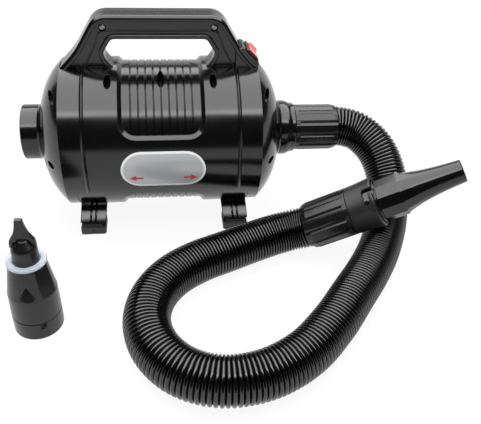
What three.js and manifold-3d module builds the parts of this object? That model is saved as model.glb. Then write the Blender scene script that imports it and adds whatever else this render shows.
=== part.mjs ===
// A hand-carried pet dryer: a clamshell blower on four feet, its ribbed hose and two nozzles.
// Millimetres, +Z up, standing on z = 0. The blower's axis runs along X, and its front faces -Y.
import * as THREE from 'three';
import { mergeVertices } from 'three/addons/utils/BufferGeometryUtils.js';
import Module from 'manifold-3d';

const wasm = await Module();
wasm.setup();

// ---- driving dimensions ----

// where the blower's axis lies
const axisX = 0;
const axisY = 70.1;

// clearances
const seatGap = 0.3;
const runningGap = 0.5;
const turningGap = 0.7;
const cutMargin = 12;

// barrel, all along its own axis from the middle of the blower
const barrelRadius = 89;
const groundClearance = 26;
const axisHeight = barrelRadius + groundClearance;
const endRadius = barrelRadius - 1;
const seamX = 87;
const seamHalfWidth = 2.4;
const seamRise = 0.6;
const domeStartX = 113;
const domeEndX = 140;
const domeArcRadius = 87.3;
const domeArcX = 54;
const domeArcHeight = endRadius - 0.4 - Math.sqrt(domeArcRadius ** 2 - (domeStartX - domeArcX) ** 2);
const wallThickness = 3.2;
const cavityRadius = barrelRadius - 4;
const gripCavityX = 55;
const barrelSides = 28;

// intake and outlet spigots
const intakeLipX = 164.3;
const intakeBore = 29.5;
const intakeRadius = intakeBore + 3.3;
const outletLipX = 164;
const hoseRadius = 25;
const outletBore = hoseRadius + runningGap;
const outletRadius = outletBore + 7.9;
const outletLipRadius = outletBore + 5;
const spigotFillet = 4;

// grip recesses round the top and the underside
const recessDepth = 4.4;
const recessRadius = barrelRadius - recessDepth;
const gripCavityRadius = recessRadius - 3.1;
const recessHalfLength = 44;
const recessChamfer = 5;
const recessUpperEdge = 38;
const recessLowerEdge = 42;
const recessCorner = 13;
const grooveCount = 9;
const groovePitch = 8.6;
const grooveWidth = 1.8;
const grooveDepth = 1.6;

// handle, heights above the axis
const handleTop = barrelRadius + 59;
const handleCornerX = 55.5;
const handleCornerRadius = 27;
const handleSlope = THREE.MathUtils.degToRad(28);
const legLength = 25;
const gripUnderside = barrelRadius + 28.5;
const gripCornerX = 50.5;
const gripCornerRadius = 7;
const webHalfDepth = 11.5;
const outerRimHalfDepth = 18;
const outerRimThickness = 6.5;
const innerRimHalfDepth = 15.5;
const innerRimThickness = 8;
const rimBevel = 2.2;
const beadHeight = gripUnderside + 12.5;
const beadWidth = 2.2;
const beadHalfDepth = 12.8;

// case screws and their wells
const wellRadius = 4.7;
const wellFloor = 9;
const bossRadius = 7;
const bossSides = 6;
const wellSides = 8;
const screwHeadRadius = 3.8;
const screwHeadHeight = 2.6;
const screwShankRadius = 2;
const screwReach = 13;
const screwHoleRadius = 2.4;
const screwSides = 6;
const handleWellFloor = 7;
const topScrewDepth = 5.1;
const sideScrewX = 59;
const sideScrewDepth = 7.8;
const domeScrewX = 120.5;
const domeScrewInset = 12.9;
const endScrewX = 126;
const handleScrewX = 61.3;
const handleScrewDrop = 14.5;

// feet
const footX = 85;
const footSplay = 4.5;
const footWidth = 33;
const footToeWidth = 31;
const toeBevel = 2.5;
const footFrontY = barrelRadius - 28;
const footDepth = 30;
const footRoot = Math.sqrt(barrelRadius ** 2 - footFrontY ** 2) - 2.8;
const toeHeight = 10;
const toeGap = 4;
const toeNeckInset = 4;
const saddleTop = 36;
const saddleBottom = footRoot + 8;
const saddleRadius = barrelRadius - 1.6;
const panelDepth = 1.2;
const panelWidth = 10;
const panelSpacing = 16;
const panelBottom = axisHeight - toeHeight - toeGap - 3;
const panelTop = footRoot + 14;

// switch pod on the outlet side's leg
const podBackX = 86;
const podTopX = 97;
const podTopZ = barrelRadius + 21.5;
const podSlope = THREE.MathUtils.degToRad(46.3);
const bezelHeight = 1.8;
const switchLength = 16.4;
const switchWidth = 24;
const bezelLength = switchLength + 3.1;
const bezelWidth = switchWidth + 3;
const podFaceLength = bezelLength + 5.5;
const podHalfDepth = bezelWidth / 2 + 0.5;
const switchDepth = 15;
const mouthLength = switchLength - 2.8;
const mouthWidth = switchWidth - 1.6;
const mouthDepth = 11;
const rockerLength = mouthLength - 2 * runningGap;
const rockerWidth = mouthWidth - 2.4;
const rockerPivotDepth = 3;
const rockerRise = 4.2;
const rockerDip = 0.9;
const rockerTilt = THREE.MathUtils.degToRad(8);

// label plate
const labelLength = 96;
const labelHeight = 46;
const labelThickness = 0.6;
const labelDrop = 1.5;

// intake guard
const guardX = 152;
const guardThickness = 3;
const guardRim = 3.4;
const guardBoss = 6;
const guardBarCount = 3;
const guardBarWidth = 2;
const filterThickness = 7;

// mains lead gland on the back
const glandX = 62;
const glandAngle = 28;
const glandRadius = 7;
const glandLength = 9;
const glandFlangeRadius = 10;
const glandFlangeThickness = 2.4;
const glandBore = 4.8;

// motor and fan, places along the axis
const fanCoverRadius = 65;
const fanCoverX = -76;
const fanEyeRadius = 22;
const fanWall = 1.6;
const impellerRadius = fanCoverRadius - fanWall - 5.4;
const impellerX = -71;
const impellerWidth = 13;
const impellerPlate = 1.5;
const hubRadius = 8;
const bladeCount = 7;
const bladeThickness = 1.4;
const bladeTwist = THREE.MathUtils.degToRad(48);
const motorRadius = 50;
const motorWall = 2;
const motorFlangeX = -20;
const motorEndX = 74;
const shaftHoleRadius = 6;
const ventCount = 4;
const ventRadius = 12;
const ventRing = 31;
const statorStartX = -8;
const statorEndX = 34;
const armatureRadius = 28.4;
const statorBore = armatureRadius + 0.8;
const commutatorStartX = 40;
const commutatorEndX = 56;
const commutatorRadius = 13;
const shaftRadius = 4;
const bearingRadius = 11;
const bearingSeatRadius = bearingRadius + 3;
const bearingWidth = 7;
const brushSize = 8;
const innerSides = 20;
const shaftSides = 12;
const portSides = 6;
const frontBulkheadX = -48;
const rearBulkheadX = 50;
const bulkheadHalfWidth = 2;
const mountRubber = 4.4;
const mountFlange = 3.4;
const mountHalfWidth = 7;

// hose and its cuffs
const hoseValley = hoseRadius - 2.2;
const hoseBore = hoseRadius - 5.6;
const hoseRibs = 100;
const stationsPerRib = 2;
const ribsPerBoreRing = 5;
const hoseSides = 8;
const hoseRest = hoseRadius + 0.2;
const hoseSocketRadius = hoseRadius + 0.9;
const cuffRadius = hoseSocketRadius + 2.4;
const cuffLength = 54;
const cuffFlatCount = 12;
const cuffGroove = 1.3;
const cuffGrooveAngle = THREE.MathUtils.degToRad(5.5);
const cuffBand = 5;
const cuffChamfer = 6.5;
const cuffLipRadius = hoseSocketRadius + 1.1;
const cuffThroat = hoseRadius - 4;
const hoseStartX = outletLipX + 8.3;
const tailLength = 20;
const turnedSides = 20;

// bayonet slots and pins
const slotWidth = 7;
const slotDepth = 12;
const slotAngle = 26;
const pinRadius = 2.6;
const pinRise = 2.4;
const outletSlotFacing = 60;
const collarSlotFacing = 23;

// hand end: where it starts, and the way it points
const handStart = [hoseStartX + 0.2, -39.3, hoseRest + 14.8];
const handDirection = [0.829, -0.183, 0.528];
const handHoseDepth = 45.7;
const handCuffLength = 56.5;
const handWebThickness = 2.7;
const collarNeckRadius = cuffThroat + 3;
const collarLength = 32.2;
const collarStartRadius = cuffRadius;
const collarBase = 2.8;
const nozzleTailLength = 22;
const nozzleTailRadius = hoseRadius + seatGap;
const nozzleNeckRadius = nozzleTailRadius - 1;
const collarLipRadius = nozzleTailRadius + 5;
const nozzleGripLength = 29;
const nozzleGripRadius = nozzleTailRadius + 0.6;
const nozzleFlatCount = 12;
const nozzleFlatFacing = 14.6;
const nozzleFlatDepth = 0.8;
const nozzleTipLength = 69.6;
const nozzleTipRadius = 12.5;
const nozzleWaistRadius = 17.4;
const nozzleWall = 2.4;

// spare nozzle, standing on its open end
const spareX = -137;
const spareY = -134.2;
const spareRadius = 25.4;
const spareWall = 2.2;
const spareGrooveHeight = 21.5;
const spareGrooveDepth = 0.7;
const spareShoulderHeight = 52;
const spareShoulderRadius = spareRadius - 0.8;
const spareConeHeight = 87;
const spareConeRadius = 18.6;
const spareNeckRadius = 13.1;
const spareNeckHeight = 106;
const spareDomeRadius = 7.6;
const spareDomeHeight = 115;
const spareMouthRadius = 4;
const spareFlatCount = 4;
const spareFlatFacing = 28;
const spareFlatDepth = 2;
const spareNotchWidth = 15;
const spareNotchHeight = 15;
const spareNotchDepth = 3;
const sparePinHeight = 11;
const spareNotchFacing = 67;
const sparePinFacing = 92;
const tipHalfThickness = 2.5;
const tipLegInner = spareDomeRadius + 1.7;
const tipLegOuter = spareNeckRadius - 0.3;
const tipWidth = 7;
const tipHeight = 139;
const tipArchHeight = 117;
const sealOuterRadius = 19.9;
const sealThickness = 3.2;

// the hose's centre line, from its seat in the blower's cuff to its seat in the hand cuff
const hoseLead = [0, 22.7, 37.7, 51.7];
// then its free run: x past the lead's start, y, and the height above lying on the ground
const hoseRun = [
  [75.7, 63.2, 85.6], [97.7, 40.6, 71.2], [107.5, 6.8, 44], [101.1, -28.6, 15.8], [81, -71.2, 3.3],
  [56.7, -108, 0], [29.7, -143, 0], [-1.8, -183, 0], [-39.8, -220.5, 0], [-82.8, -243, 0],
  [-126, -247, 0], [-161.8, -231, 0], [-186.3, -201, 0], [-194.8, -165, 0], [-187.3, -130, 0],
  [-166.9, -100.5, 0], [-136.7, -78.3, 0], [-101.3, -62, 0.2], [-69.3, -48.5, 1.4],
  [-41.3, -39.5, 3.8], [-18.8, -36.6, 7.8],
];
const handRun = [0, handHoseDepth / 2, handHoseDepth];
const hoseRoute = [
  ...hoseLead.map((reach) => [hoseStartX + reach, axisY, axisHeight]),
  ...hoseRun.map(([reach, y, lift]) => [hoseStartX + reach, y, hoseRest + lift]),
  ...handRun.map((reach) => handStart.map((start, i) => start + reach * handDirection[i])),
];

// ---- materials ----

const gloss = new THREE.MeshStandardMaterial({ color: 0x0c0c0d, roughness: 0.28, metalness: 0 });
const satin = new THREE.MeshStandardMaterial({ color: 0x121213, roughness: 0.45, metalness: 0 });
const rubber = new THREE.MeshStandardMaterial({ color: 0x161616, roughness: 0.8, metalness: 0 });
const red = new THREE.MeshStandardMaterial({ color: 0xd01824, roughness: 0.2, metalness: 0 });
const silver = new THREE.MeshStandardMaterial({ color: 0xd7d9de, roughness: 0.35, metalness: 0.4 });
const steel = new THREE.MeshStandardMaterial({ color: 0x9a9da1, roughness: 0.35, metalness: 1 });
const copper = new THREE.MeshStandardMaterial({ color: 0xa8602f, roughness: 0.4, metalness: 1 });
const carbon = new THREE.MeshStandardMaterial({ color: 0x202022, roughness: 0.7, metalness: 0 });
const foam = new THREE.MeshStandardMaterial({ color: 0x2b2c2e, roughness: 0.95, metalness: 0 });
const silicone = new THREE.MeshStandardMaterial({ color: 0xcfe0ec, roughness: 0.3, metalness: 0 });

// ---- solids ----

const weldDistance = 1e-4;
const quarterTurn = Math.PI / 2;

function signedVolume(position, index) {
  const a = new THREE.Vector3();
  const b = new THREE.Vector3();
  const c = new THREE.Vector3();
  let total = 0;
  for (let i = 0; i < index.length; i += 3) {
    a.fromArray(position, 3 * index[i]);
    b.fromArray(position, 3 * index[i + 1]);
    c.fromArray(position, 3 * index[i + 2]);
    total += a.dot(b.cross(c));
  }
  return total / 6;
}

// A closed geometry as a solid, with its seam welded and its faces turned out.
function solidOf(geometry) {
  const bare = geometry.clone();
  bare.deleteAttribute('normal');
  bare.deleteAttribute('uv');
  const welded = mergeVertices(bare, weldDistance);
  const position = Float32Array.from(welded.attributes.position.array);
  const index = [];
  const all = welded.index.array;
  for (let i = 0; i < all.length; i += 3) {
    const [a, b, c] = [all[i], all[i + 1], all[i + 2]];
    if (a !== b && b !== c && c !== a) {
      index.push(a, b, c);
    }
  }
  if (signedVolume(position, index) < 0) {
    index.reverse();
  }
  return new wasm.Manifold(new wasm.Mesh({
    numProp: 3,
    vertProperties: position,
    triVerts: Uint32Array.from(index),
  }));
}

function geometryOf(solid) {
  const mesh = solid.getMesh();
  const geometry = new THREE.BufferGeometry();
  geometry.setAttribute('position', new THREE.BufferAttribute(mesh.vertProperties, 3));
  geometry.setIndex(new THREE.BufferAttribute(mesh.triVerts, 1));
  geometry.computeVertexNormals();
  return geometry;
}

function node(name, solid, material) {
  const mesh = new THREE.Mesh(geometryOf(solid), material);
  mesh.name = name;
  return mesh;
}

function joined(solids) {
  return solids.reduce((whole, next) => whole.add(next));
}

function vectors(points) {
  return points.map(([a, b]) => new THREE.Vector2(a, b));
}

// A solid turned about X from [place along X, radius] points. The outline starts and ends on the axis
// unless `ring` says that it closes on itself.
function turned(points, sides, ring = false) {
  const outline = points.map(([along, radius]) => new THREE.Vector2(radius, along));
  if (ring) {
    outline.push(outline[0].clone());
  }
  const geometry = new THREE.LatheGeometry(outline, sides);
  geometry.rotateZ(-quarterTurn);
  return solidOf(geometry);
}

function rod(fromX, toX, radius, sides) {
  return turned([[fromX, 0], [fromX, radius], [toX, radius], [toX, 0]], sides);
}

function tube(fromX, toX, outer, inner, sides) {
  return turned([[fromX, inner], [fromX, outer], [toX, outer], [toX, inner]], sides, true);
}

// A rod along Y, through the point (x, z).
function crossRod(x, z, fromY, toY, radius, sides) {
  const geometry = new THREE.CylinderGeometry(radius, radius, toY - fromY, sides);
  geometry.translate(x, (fromY + toY) / 2, z);
  return solidOf(geometry);
}

function box(low, high) {
  const geometry = new THREE.BoxGeometry(high[0] - low[0], high[1] - low[1], high[2] - low[2]);
  geometry.translate((low[0] + high[0]) / 2, (low[1] + high[1]) / 2, (low[2] + high[2]) / 2);
  return solidOf(geometry);
}

// An outline in the XZ plane, made into a plate from -halfDepth to +halfDepth along Y.
function plate(points, halfDepth, bevel = 0) {
  const shape = new THREE.Shape(vectors(points));
  const geometry = new THREE.ExtrudeGeometry(shape, {
    depth: 2 * (halfDepth - bevel),
    bevelEnabled: bevel > 0,
    bevelThickness: bevel,
    bevelSize: bevel,
    bevelOffset: -bevel,
    bevelSegments: 1,
  });
  geometry.rotateX(quarterTurn);
  geometry.translate(0, halfDepth - bevel, 0);
  return solidOf(geometry);
}

// A solid through rings of points, each with as many points as the next, closed by flat ends.
function lofted(rings) {
  const size = rings[0].length;
  const position = rings.flat(2);
  const index = [];
  for (let ring = 0; ring + 1 < rings.length; ring += 1) {
    for (let i = 0; i < size; i += 1) {
      const next = (i + 1) % size;
      const a = ring * size;
      const b = a + size;
      index.push(a + i, a + next, b + next, a + i, b + next, b + i);
    }
  }
  const last = (rings.length - 1) * size;
  for (let i = 1; i + 1 < size; i += 1) {
    index.push(0, i + 1, i, last, last + i, last + i + 1);
  }
  const geometry = new THREE.BufferGeometry();
  geometry.setAttribute('position', new THREE.Float32BufferAttribute(position, 3));
  geometry.setIndex(index);
  return solidOf(geometry);
}

// A line moved sideways by a distance, to the right of the way it runs.
function movedAside(points, distance) {
  return points.map((point, i) => {
    const before = points[Math.max(i - 1, 0)];
    const after = points[Math.min(i + 1, points.length - 1)];
    const along = new THREE.Vector2(after[0] - before[0], after[1] - before[1]).normalize();
    return [point[0] + along.y * distance, point[1] - along.x * distance];
  });
}

function stripBeside(points, distance) {
  return [...points, ...movedAside(points, distance).reverse()];
}

function arcPoints(centreX, centreZ, radius, fromAngle, toAngle, steps) {
  const points = [];
  for (let i = 0; i <= steps; i += 1) {
    const angle = fromAngle + (toAngle - fromAngle) * i / steps;
    points.push([centreX + radius * Math.cos(angle), centreZ + radius * Math.sin(angle)]);
  }
  return points;
}

function curvePoints(start, control, end, steps) {
  const curve = new THREE.QuadraticBezierCurve(...vectors([start, control, end]));
  return curve.getPoints(steps).map((point) => [point.x, point.y]);
}

function mirrored(points) {
  return points.map(([x, z]) => [-x, z]).reverse();
}

// ---- housing ----

function domeRadiusAt(x) {
  return domeArcHeight + Math.sqrt(domeArcRadius ** 2 - (Math.abs(x) - domeArcX) ** 2);
}

// The dome's outline from the barrel's edge towards the spigot, moved in by a wall.
function domeOutline(inset, steps) {
  const radius = domeArcRadius - inset;
  const startAngle = Math.acos((domeStartX - domeArcX) / domeArcRadius);
  const endAngle = Math.acos((domeEndX - domeArcX) / domeArcRadius);
  return arcPoints(domeArcX, domeArcHeight, radius, startAngle, endAngle, steps);
}

function seamOutline() {
  return [
    [seamX - seamHalfWidth, barrelRadius],
    [seamX - seamHalfWidth / 2, barrelRadius - 2 * seamRise],
    [seamX, barrelRadius + seamRise],
    [seamX + seamHalfWidth, endRadius],
  ];
}

function housingEnvelope() {
  const half = [...seamOutline(), [domeStartX, endRadius], ...domeOutline(0, 4).slice(1)];
  const intake = [
    [domeEndX + 0.6, intakeRadius + spigotFillet],
    [domeEndX + spigotFillet, intakeRadius],
    [intakeLipX - 1, intakeRadius],
    [intakeLipX, intakeRadius - 1],
    [intakeLipX, 0],
  ];
  const outlet = [
    [domeEndX + 0.6, outletRadius + spigotFillet],
    [domeEndX + spigotFillet, outletRadius + 0.6],
    [outletLipX - 13, outletRadius],
    [outletLipX - 4, outletLipRadius + 0.4],
    [outletLipX, outletLipRadius],
    [outletLipX, 0],
  ];
  const left = [...half, ...intake].map(([x, r]) => [-x, r]).reverse();
  return turned([...left, ...half, ...outlet], barrelSides);
}

// The bulkheads reach in to the rubber rings that hold the motor.
function bulkheadOutline(x, radius) {
  return [
    [x - bulkheadHalfWidth, gripCavityRadius],
    [x - bulkheadHalfWidth, radius],
    [x + bulkheadHalfWidth, radius],
    [x + bulkheadHalfWidth, gripCavityRadius],
  ];
}

function housingCavity() {
  const end = domeOutline(wallThickness, 3).filter(([, radius]) => radius < cavityRadius);
  const farLeft = intakeLipX + cutMargin;
  const farRight = outletLipX + cutMargin;
  const shoulder = [[gripCavityX, gripCavityRadius], [gripCavityX, cavityRadius]];
  const dome = [[domeStartX - wallThickness, cavityRadius], ...end];
  const left = [...shoulder, ...dome, [domeEndX - 1, intakeBore], [farLeft, intakeBore], [farLeft, 0]];
  const right = [...shoulder, ...dome, [domeEndX - 1, outletBore], [farRight, outletBore], [farRight, 0]];
  return turned([
    ...left.map(([x, r]) => [-x, r]).reverse(),
    ...bulkheadOutline(frontBulkheadX, fanCoverRadius + mountRubber + seatGap),
    ...bulkheadOutline(rearBulkheadX, motorRadius + mountRubber + seatGap),
    ...right,
  ], innerSides);
}

const legTop = [
  handleCornerX + handleCornerRadius * Math.cos(handleSlope),
  handleTop - handleCornerRadius * (1 - Math.sin(handleSlope)),
];
const legFoot = [
  legTop[0] + legLength * Math.sin(handleSlope),
  legTop[1] - legLength * Math.cos(handleSlope),
];
const handleRoot = cavityRadius - outerRimHalfDepth;

// The handle's outer line, from the middle of the grip to the dome's edge.
function handleOuterHalf() {
  const centreZ = handleTop - handleCornerRadius;
  return [
    [0, handleTop],
    ...arcPoints(handleCornerX, centreZ, handleCornerRadius, quarterTurn, handleSlope, 4),
    ...curvePoints(legFoot, [legFoot[0] + 7.5, legFoot[1] - 14], [domeStartX, endRadius - 1.5], 3),
    [domeStartX, handleRoot],
  ];
}

// The finger gap's line, from the middle of the grip to the barrel's top.
function handleInnerHalf() {
  const centreZ = gripUnderside - gripCornerRadius;
  return [
    [0, gripUnderside],
    ...arcPoints(gripCornerX, centreZ, gripCornerRadius, quarterTurn, handleSlope, 2),
    ...curvePoints(
      [gripCornerX + 10.5, barrelRadius + 15],
      [gripCornerX + 13, barrelRadius + 7],
      [gripCornerX + 4.5, barrelRadius + seatGap],
      3,
    ),
    [gripCornerX + 2.5, cavityRadius],
    [gripCornerX + 2.5, handleRoot],
  ];
}

function handleSolid() {
  const outer = handleOuterHalf();
  const inner = handleInnerHalf();
  const wholeOuter = [...mirrored(outer).slice(0, -1), ...outer];
  const wholeInner = [...mirrored(inner).slice(0, -1), ...inner];
  const web = plate([...wholeOuter, ...wholeInner.slice().reverse()], webHalfDepth);
  const outerRim = plate(stripBeside(wholeOuter, outerRimThickness), outerRimHalfDepth, rimBevel);
  const innerRim = plate(stripBeside(wholeInner, -innerRimThickness), innerRimHalfDepth, rimBevel);
  const beadCorner = handleCornerX + 8;
  const beadLine = [
    [-seamX, endRadius - 2], [-beadCorner - 10, legFoot[1]], [-beadCorner, beadHeight],
    [beadCorner, beadHeight], [beadCorner + 10, legFoot[1]], [seamX, endRadius - 2],
  ];
  const bead = plate(stripBeside(beadLine, beadWidth), beadHalfDepth);
  return joined([web, outerRim, innerRim, bead]);
}

// The block that carries the switch, and the frame of its sloping face.
const podFaceEnd = [
  podTopX + podFaceLength * Math.cos(podSlope),
  podTopZ - podFaceLength * Math.sin(podSlope),
];
const podCentre = [(podTopX + podFaceEnd[0]) / 2, (podTopZ + podFaceEnd[1]) / 2];

function podSolid() {
  return plate([
    [podBackX, podTopZ - 2], [podTopX - 3, podTopZ + 1.5], [podTopX, podTopZ], podFaceEnd,
    [podFaceEnd[0] - 1, podFaceEnd[1] - 8], [podFaceEnd[0] - 4, handleRoot], [podBackX, handleRoot],
  ], podHalfDepth);
}

// Sets a solid that is modelled along X and Y, with its face on z = 0, on the pod's face.
function onPodFace(solid, tilt = 0) {
  const place = new THREE.Matrix4().makeTranslation(podCentre[0], 0, podCentre[1]);
  const slope = new THREE.Matrix4().makeRotationY(podSlope);
  const lean = new THREE.Matrix4().makeRotationX(tilt);
  return solid.transform(place.multiply(slope).multiply(lean).elements);
}

const topScrewZ = recessRadius - topScrewDepth;
const sideScrewZ = barrelRadius - sideScrewDepth;
const domeScrewZ = domeRadiusAt(domeScrewX) - domeScrewInset;
const handleScrewZ = handleTop - handleScrewDrop;
const screwPlaces = [
  { name: 'screw_top_middle', x: 0, z: topScrewZ, floor: wellFloor },
  { name: 'screw_top_left', x: -sideScrewX, z: sideScrewZ, floor: wellFloor },
  { name: 'screw_top_right', x: sideScrewX, z: sideScrewZ, floor: wellFloor },
  { name: 'screw_upper_left', x: -domeScrewX, z: domeScrewZ, floor: wellFloor },
  { name: 'screw_upper_right', x: domeScrewX, z: domeScrewZ, floor: wellFloor },
  { name: 'screw_lower_left', x: -domeScrewX, z: -domeScrewZ, floor: wellFloor },
  { name: 'screw_lower_right', x: domeScrewX, z: -domeScrewZ, floor: wellFloor },
  { name: 'screw_end_left', x: -endScrewX, z: -2, floor: wellFloor },
  { name: 'screw_end_right', x: endScrewX, z: -2, floor: wellFloor },
  { name: 'screw_handle_left', x: -handleScrewX, z: handleScrewZ, floor: handleWellFloor },
  { name: 'screw_handle_right', x: handleScrewX, z: handleScrewZ, floor: handleWellFloor },
];

function bossSolids(envelope) {
  const bosses = screwPlaces.map(({ x, z }) => (
    crossRod(x, z, -barrelRadius, barrelRadius, bossRadius, bossSides)
  ));
  return joined(bosses).intersect(envelope);
}

function screwCuts() {
  return screwPlaces.flatMap(({ x, z, floor }) => [
    crossRod(x, z, -barrelRadius - cutMargin, -floor, wellRadius, wellSides),
    crossRod(x, z, -floor - 1, screwReach + 1.5, screwHoleRadius, screwSides),
  ]);
}

// A case screw: its head sits on the well's floor and its shank reaches into the rear shell.
function screwSolid({ x, z, floor }) {
  const seatY = -floor - seatGap;
  const geometry = new THREE.LatheGeometry(vectors([
    [0, seatY - screwHeadHeight], [screwHeadRadius, seatY - screwHeadHeight], [screwHeadRadius, seatY],
    [screwShankRadius, seatY], [screwShankRadius, screwReach], [0, screwReach],
  ]), screwSides);
  return solidOf(geometry.translate(x, 0, z));
}

// A rounded window in the XZ plane that the grip recess shows through.
function recessWindow(edge, grow) {
  const half = recessHalfLength + grow;
  const low = edge - grow;
  const corner = recessCorner + grow;
  const high = barrelRadius + cutMargin;
  return [
    [half, high],
    ...arcPoints(half - corner, low + corner, corner, 0, -quarterTurn, 3),
    ...arcPoints(-half + corner, low + corner, corner, -quarterTurn, -2 * quarterTurn, 3),
    [-half, high],
  ];
}

// A recess with grooves, wrapped over the top, or under the bottom where `up` is -1.
function recessCutter(edge, up, count) {
  const floorY = Math.sqrt(recessRadius ** 2 - edge ** 2) - 2;
  const steps = [
    [-1, 0], [floorY, 0], [floorY + 9, recessChamfer], [barrelRadius + cutMargin, recessChamfer],
  ];
  const windowRing = ([depth, grow], side) => (
    recessWindow(edge, grow).map(([x, z]) => [x, side * depth, up * z])
  );
  const windows = [-1, 1].map((side) => lofted(steps.map((step) => windowRing(step, side))));
  const topRadius = recessRadius + recessChamfer + 2;
  const farX = recessHalfLength + recessChamfer + 2;
  const trench = turned([
    [-farX, topRadius], [farX, topRadius],
    [recessHalfLength, recessRadius], [-recessHalfLength, recessRadius],
  ], barrelSides, true);
  const flare = (grooveDepth + 1) / grooveDepth * grooveWidth / 2;
  const grooves = [];
  for (let i = 0; i < count; i += 1) {
    const x = (i - (count - 1) / 2) * groovePitch;
    grooves.push(turned([
      [x - flare, recessRadius + 1], [x + flare, recessRadius + 1], [x, recessRadius - grooveDepth],
    ], barrelSides, true));
  }
  return joined([trench, ...grooves]).intersect(joined(windows));
}

// A rectangle round (middle, centreY) at a height, as the ring of a loft.
function rectangleRing(middle, centreY, halfWidth, halfDepth, z) {
  return [
    [middle - halfWidth, centreY - halfDepth, z], [middle + halfWidth, centreY - halfDepth, z],
    [middle + halfWidth, centreY + halfDepth, z], [middle - halfWidth, centreY + halfDepth, z],
  ];
}

const footMiddleY = footFrontY - footDepth / 2;
const footBottom = -axisHeight + toeHeight + toeGap;

function footSolid([sideX, sideY]) {
  const top = rectangleRing(sideX * footX, sideY * footMiddleY, footWidth / 2, footDepth / 2, -footRoot);
  const toeX = sideX * (footX + footSplay);
  const toe = rectangleRing(toeX, sideY * footMiddleY, footToeWidth / 2, footDepth / 2, footBottom);
  return lofted([top, toe]);
}

// A rubber foot: a pad with bevelled edges under a narrower neck.
function footPadSolid([sideX, sideY]) {
  const ring = (inset, z) => rectangleRing(
    sideX * (footX + footSplay),
    sideY * footMiddleY,
    footToeWidth / 2 - inset,
    footDepth / 2 - inset,
    z,
  );
  const padTop = -axisHeight + toeHeight;
  return lofted([
    ring(toeBevel, -axisHeight), ring(0, -axisHeight + toeBevel), ring(0, padTop),
    ring(toeNeckInset, padTop), ring(toeNeckInset, footBottom - seatGap),
  ]);
}

function orderedBox(x0, x1, y0, y1, z0, z1) {
  return box([Math.min(x0, x1), Math.min(y0, y1), z0], [Math.max(x0, x1), Math.max(y0, y1), z1]);
}

function footPanels([sideX, sideY]) {
  const face = sideY * (footFrontY - panelDepth);
  const far = sideY * (footFrontY + cutMargin);
  return [-1, 1].map((side) => {
    const middle = sideX * (footX + footSplay * 0.8) + side * panelSpacing / 2;
    const half = panelWidth / 2;
    return orderedBox(middle - half, middle + half, face, far, -panelBottom, -panelTop);
  });
}

// The shallow step in the barrel above each foot.
function saddleCut([sideX, sideY]) {
  const half = footWidth / 2 - 1;
  const middle = sideX * footX;
  const far = sideY * (barrelRadius + cutMargin);
  const block = orderedBox(middle - half, middle + half, sideY * 30, far, -saddleBottom, -saddleTop);
  return block.subtract(rod(-intakeLipX, intakeLipX, saddleRadius, barrelSides));
}

const footSides = [[-1, -1], [1, -1], [-1, 1], [1, 1]];
const footNames = ['foot_front_left', 'foot_front_right', 'foot_rear_left', 'foot_rear_right'];

// Two opposite L-shaped slots, in from a lip and then round, that reach out to a radius.
function bayonetSlots(lipX, reach, facing) {
  const legEnd = lipX - slotDepth;
  const half = slotWidth / 2;
  const low = reach / 2;
  const entry = box([legEnd, -half, low], [lipX + cutMargin, half, reach]);
  const leg = box([legEnd, -half, low], [legEnd + slotWidth, half, reach]);
  const turns = [1 / 3, 2 / 3, 1].map((part) => leg.rotate([slotAngle * part, 0, 0]));
  const slot = joined([entry, ...turns]);
  return [facing, facing + 180].map((angle) => slot.rotate([angle, 0, 0]));
}

// The two pins that rest at the closed ends of those slots.
function bayonetPins(lipX, fromRadius, toRadius, facing) {
  const geometry = new THREE.CylinderGeometry(pinRadius, pinRadius, toRadius - fromRadius, 10);
  geometry.rotateX(quarterTurn);
  geometry.translate(lipX - slotDepth + slotWidth / 2, 0, (fromRadius + toRadius) / 2);
  const pin = solidOf(geometry);
  return [facing, facing + 180].map((angle) => pin.rotate([angle + slotAngle, 0, 0]));
}

const outletTailRadius = outletBore - turningGap;
const outletPinRadius = outletTailRadius + pinRise;

function glandHole() {
  const hole = crossRod(glandX, 0, cavityRadius / 2, barrelRadius + cutMargin, glandRadius + seatGap, 16);
  return hole.rotate([-glandAngle, 0, 0]);
}

function switchPocket() {
  const halfLength = switchLength / 2 + seatGap;
  const halfWidth = switchWidth / 2 + seatGap;
  return onPodFace(box([-halfLength, -halfWidth, -switchDepth - 1], [halfLength, halfWidth, cutMargin]));
}

function housingSolid() {
  const envelope = housingEnvelope();
  const outside = joined([envelope, handleSolid(), podSolid(), ...footSides.map(footSolid)]);
  const shell = outside.subtract(housingCavity()).add(bossSolids(envelope));
  const cuts = [
    ...screwCuts(),
    recessCutter(recessUpperEdge, 1, grooveCount),
    recessCutter(recessLowerEdge, -1, 0),
    ...footSides.map(saddleCut).map((cut, i) => cut.subtract(footSolid(footSides[i]))),
    ...footSides.flatMap(footPanels),
    ...bayonetSlots(outletLipX, outletPinRadius + runningGap, outletSlotFacing),
    switchPocket(),
    glandHole(),
  ];
  return shell.subtract(joined(cuts));
}

// The half of the housing on one side of the parting plane.
function shellHalf(housing, side) {
  const far = barrelRadius + cutMargin;
  const near = side * seatGap / 2;
  return housing.intersect(orderedBox(-2 * far, 2 * far, near, side * far, -2 * far, 2 * far));
}

// ---- what sits on the housing ----

function labelSolid() {
  const half = labelLength / 2 - labelHeight / 2;
  const round = labelHeight / 2;
  const outline = [
    ...arcPoints(half, -labelDrop, round, -quarterTurn, quarterTurn, 8),
    ...arcPoints(-half, -labelDrop, round, quarterTurn, 3 * quarterTurn, 8),
  ];
  const inner = barrelRadius + seatGap;
  const skin = tube(-seamX, seamX, inner + labelThickness, inner, barrelSides);
  const front = plate(outline, barrelRadius / 2).translate([0, -barrelRadius, 0]);
  return skin.intersect(front);
}

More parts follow.
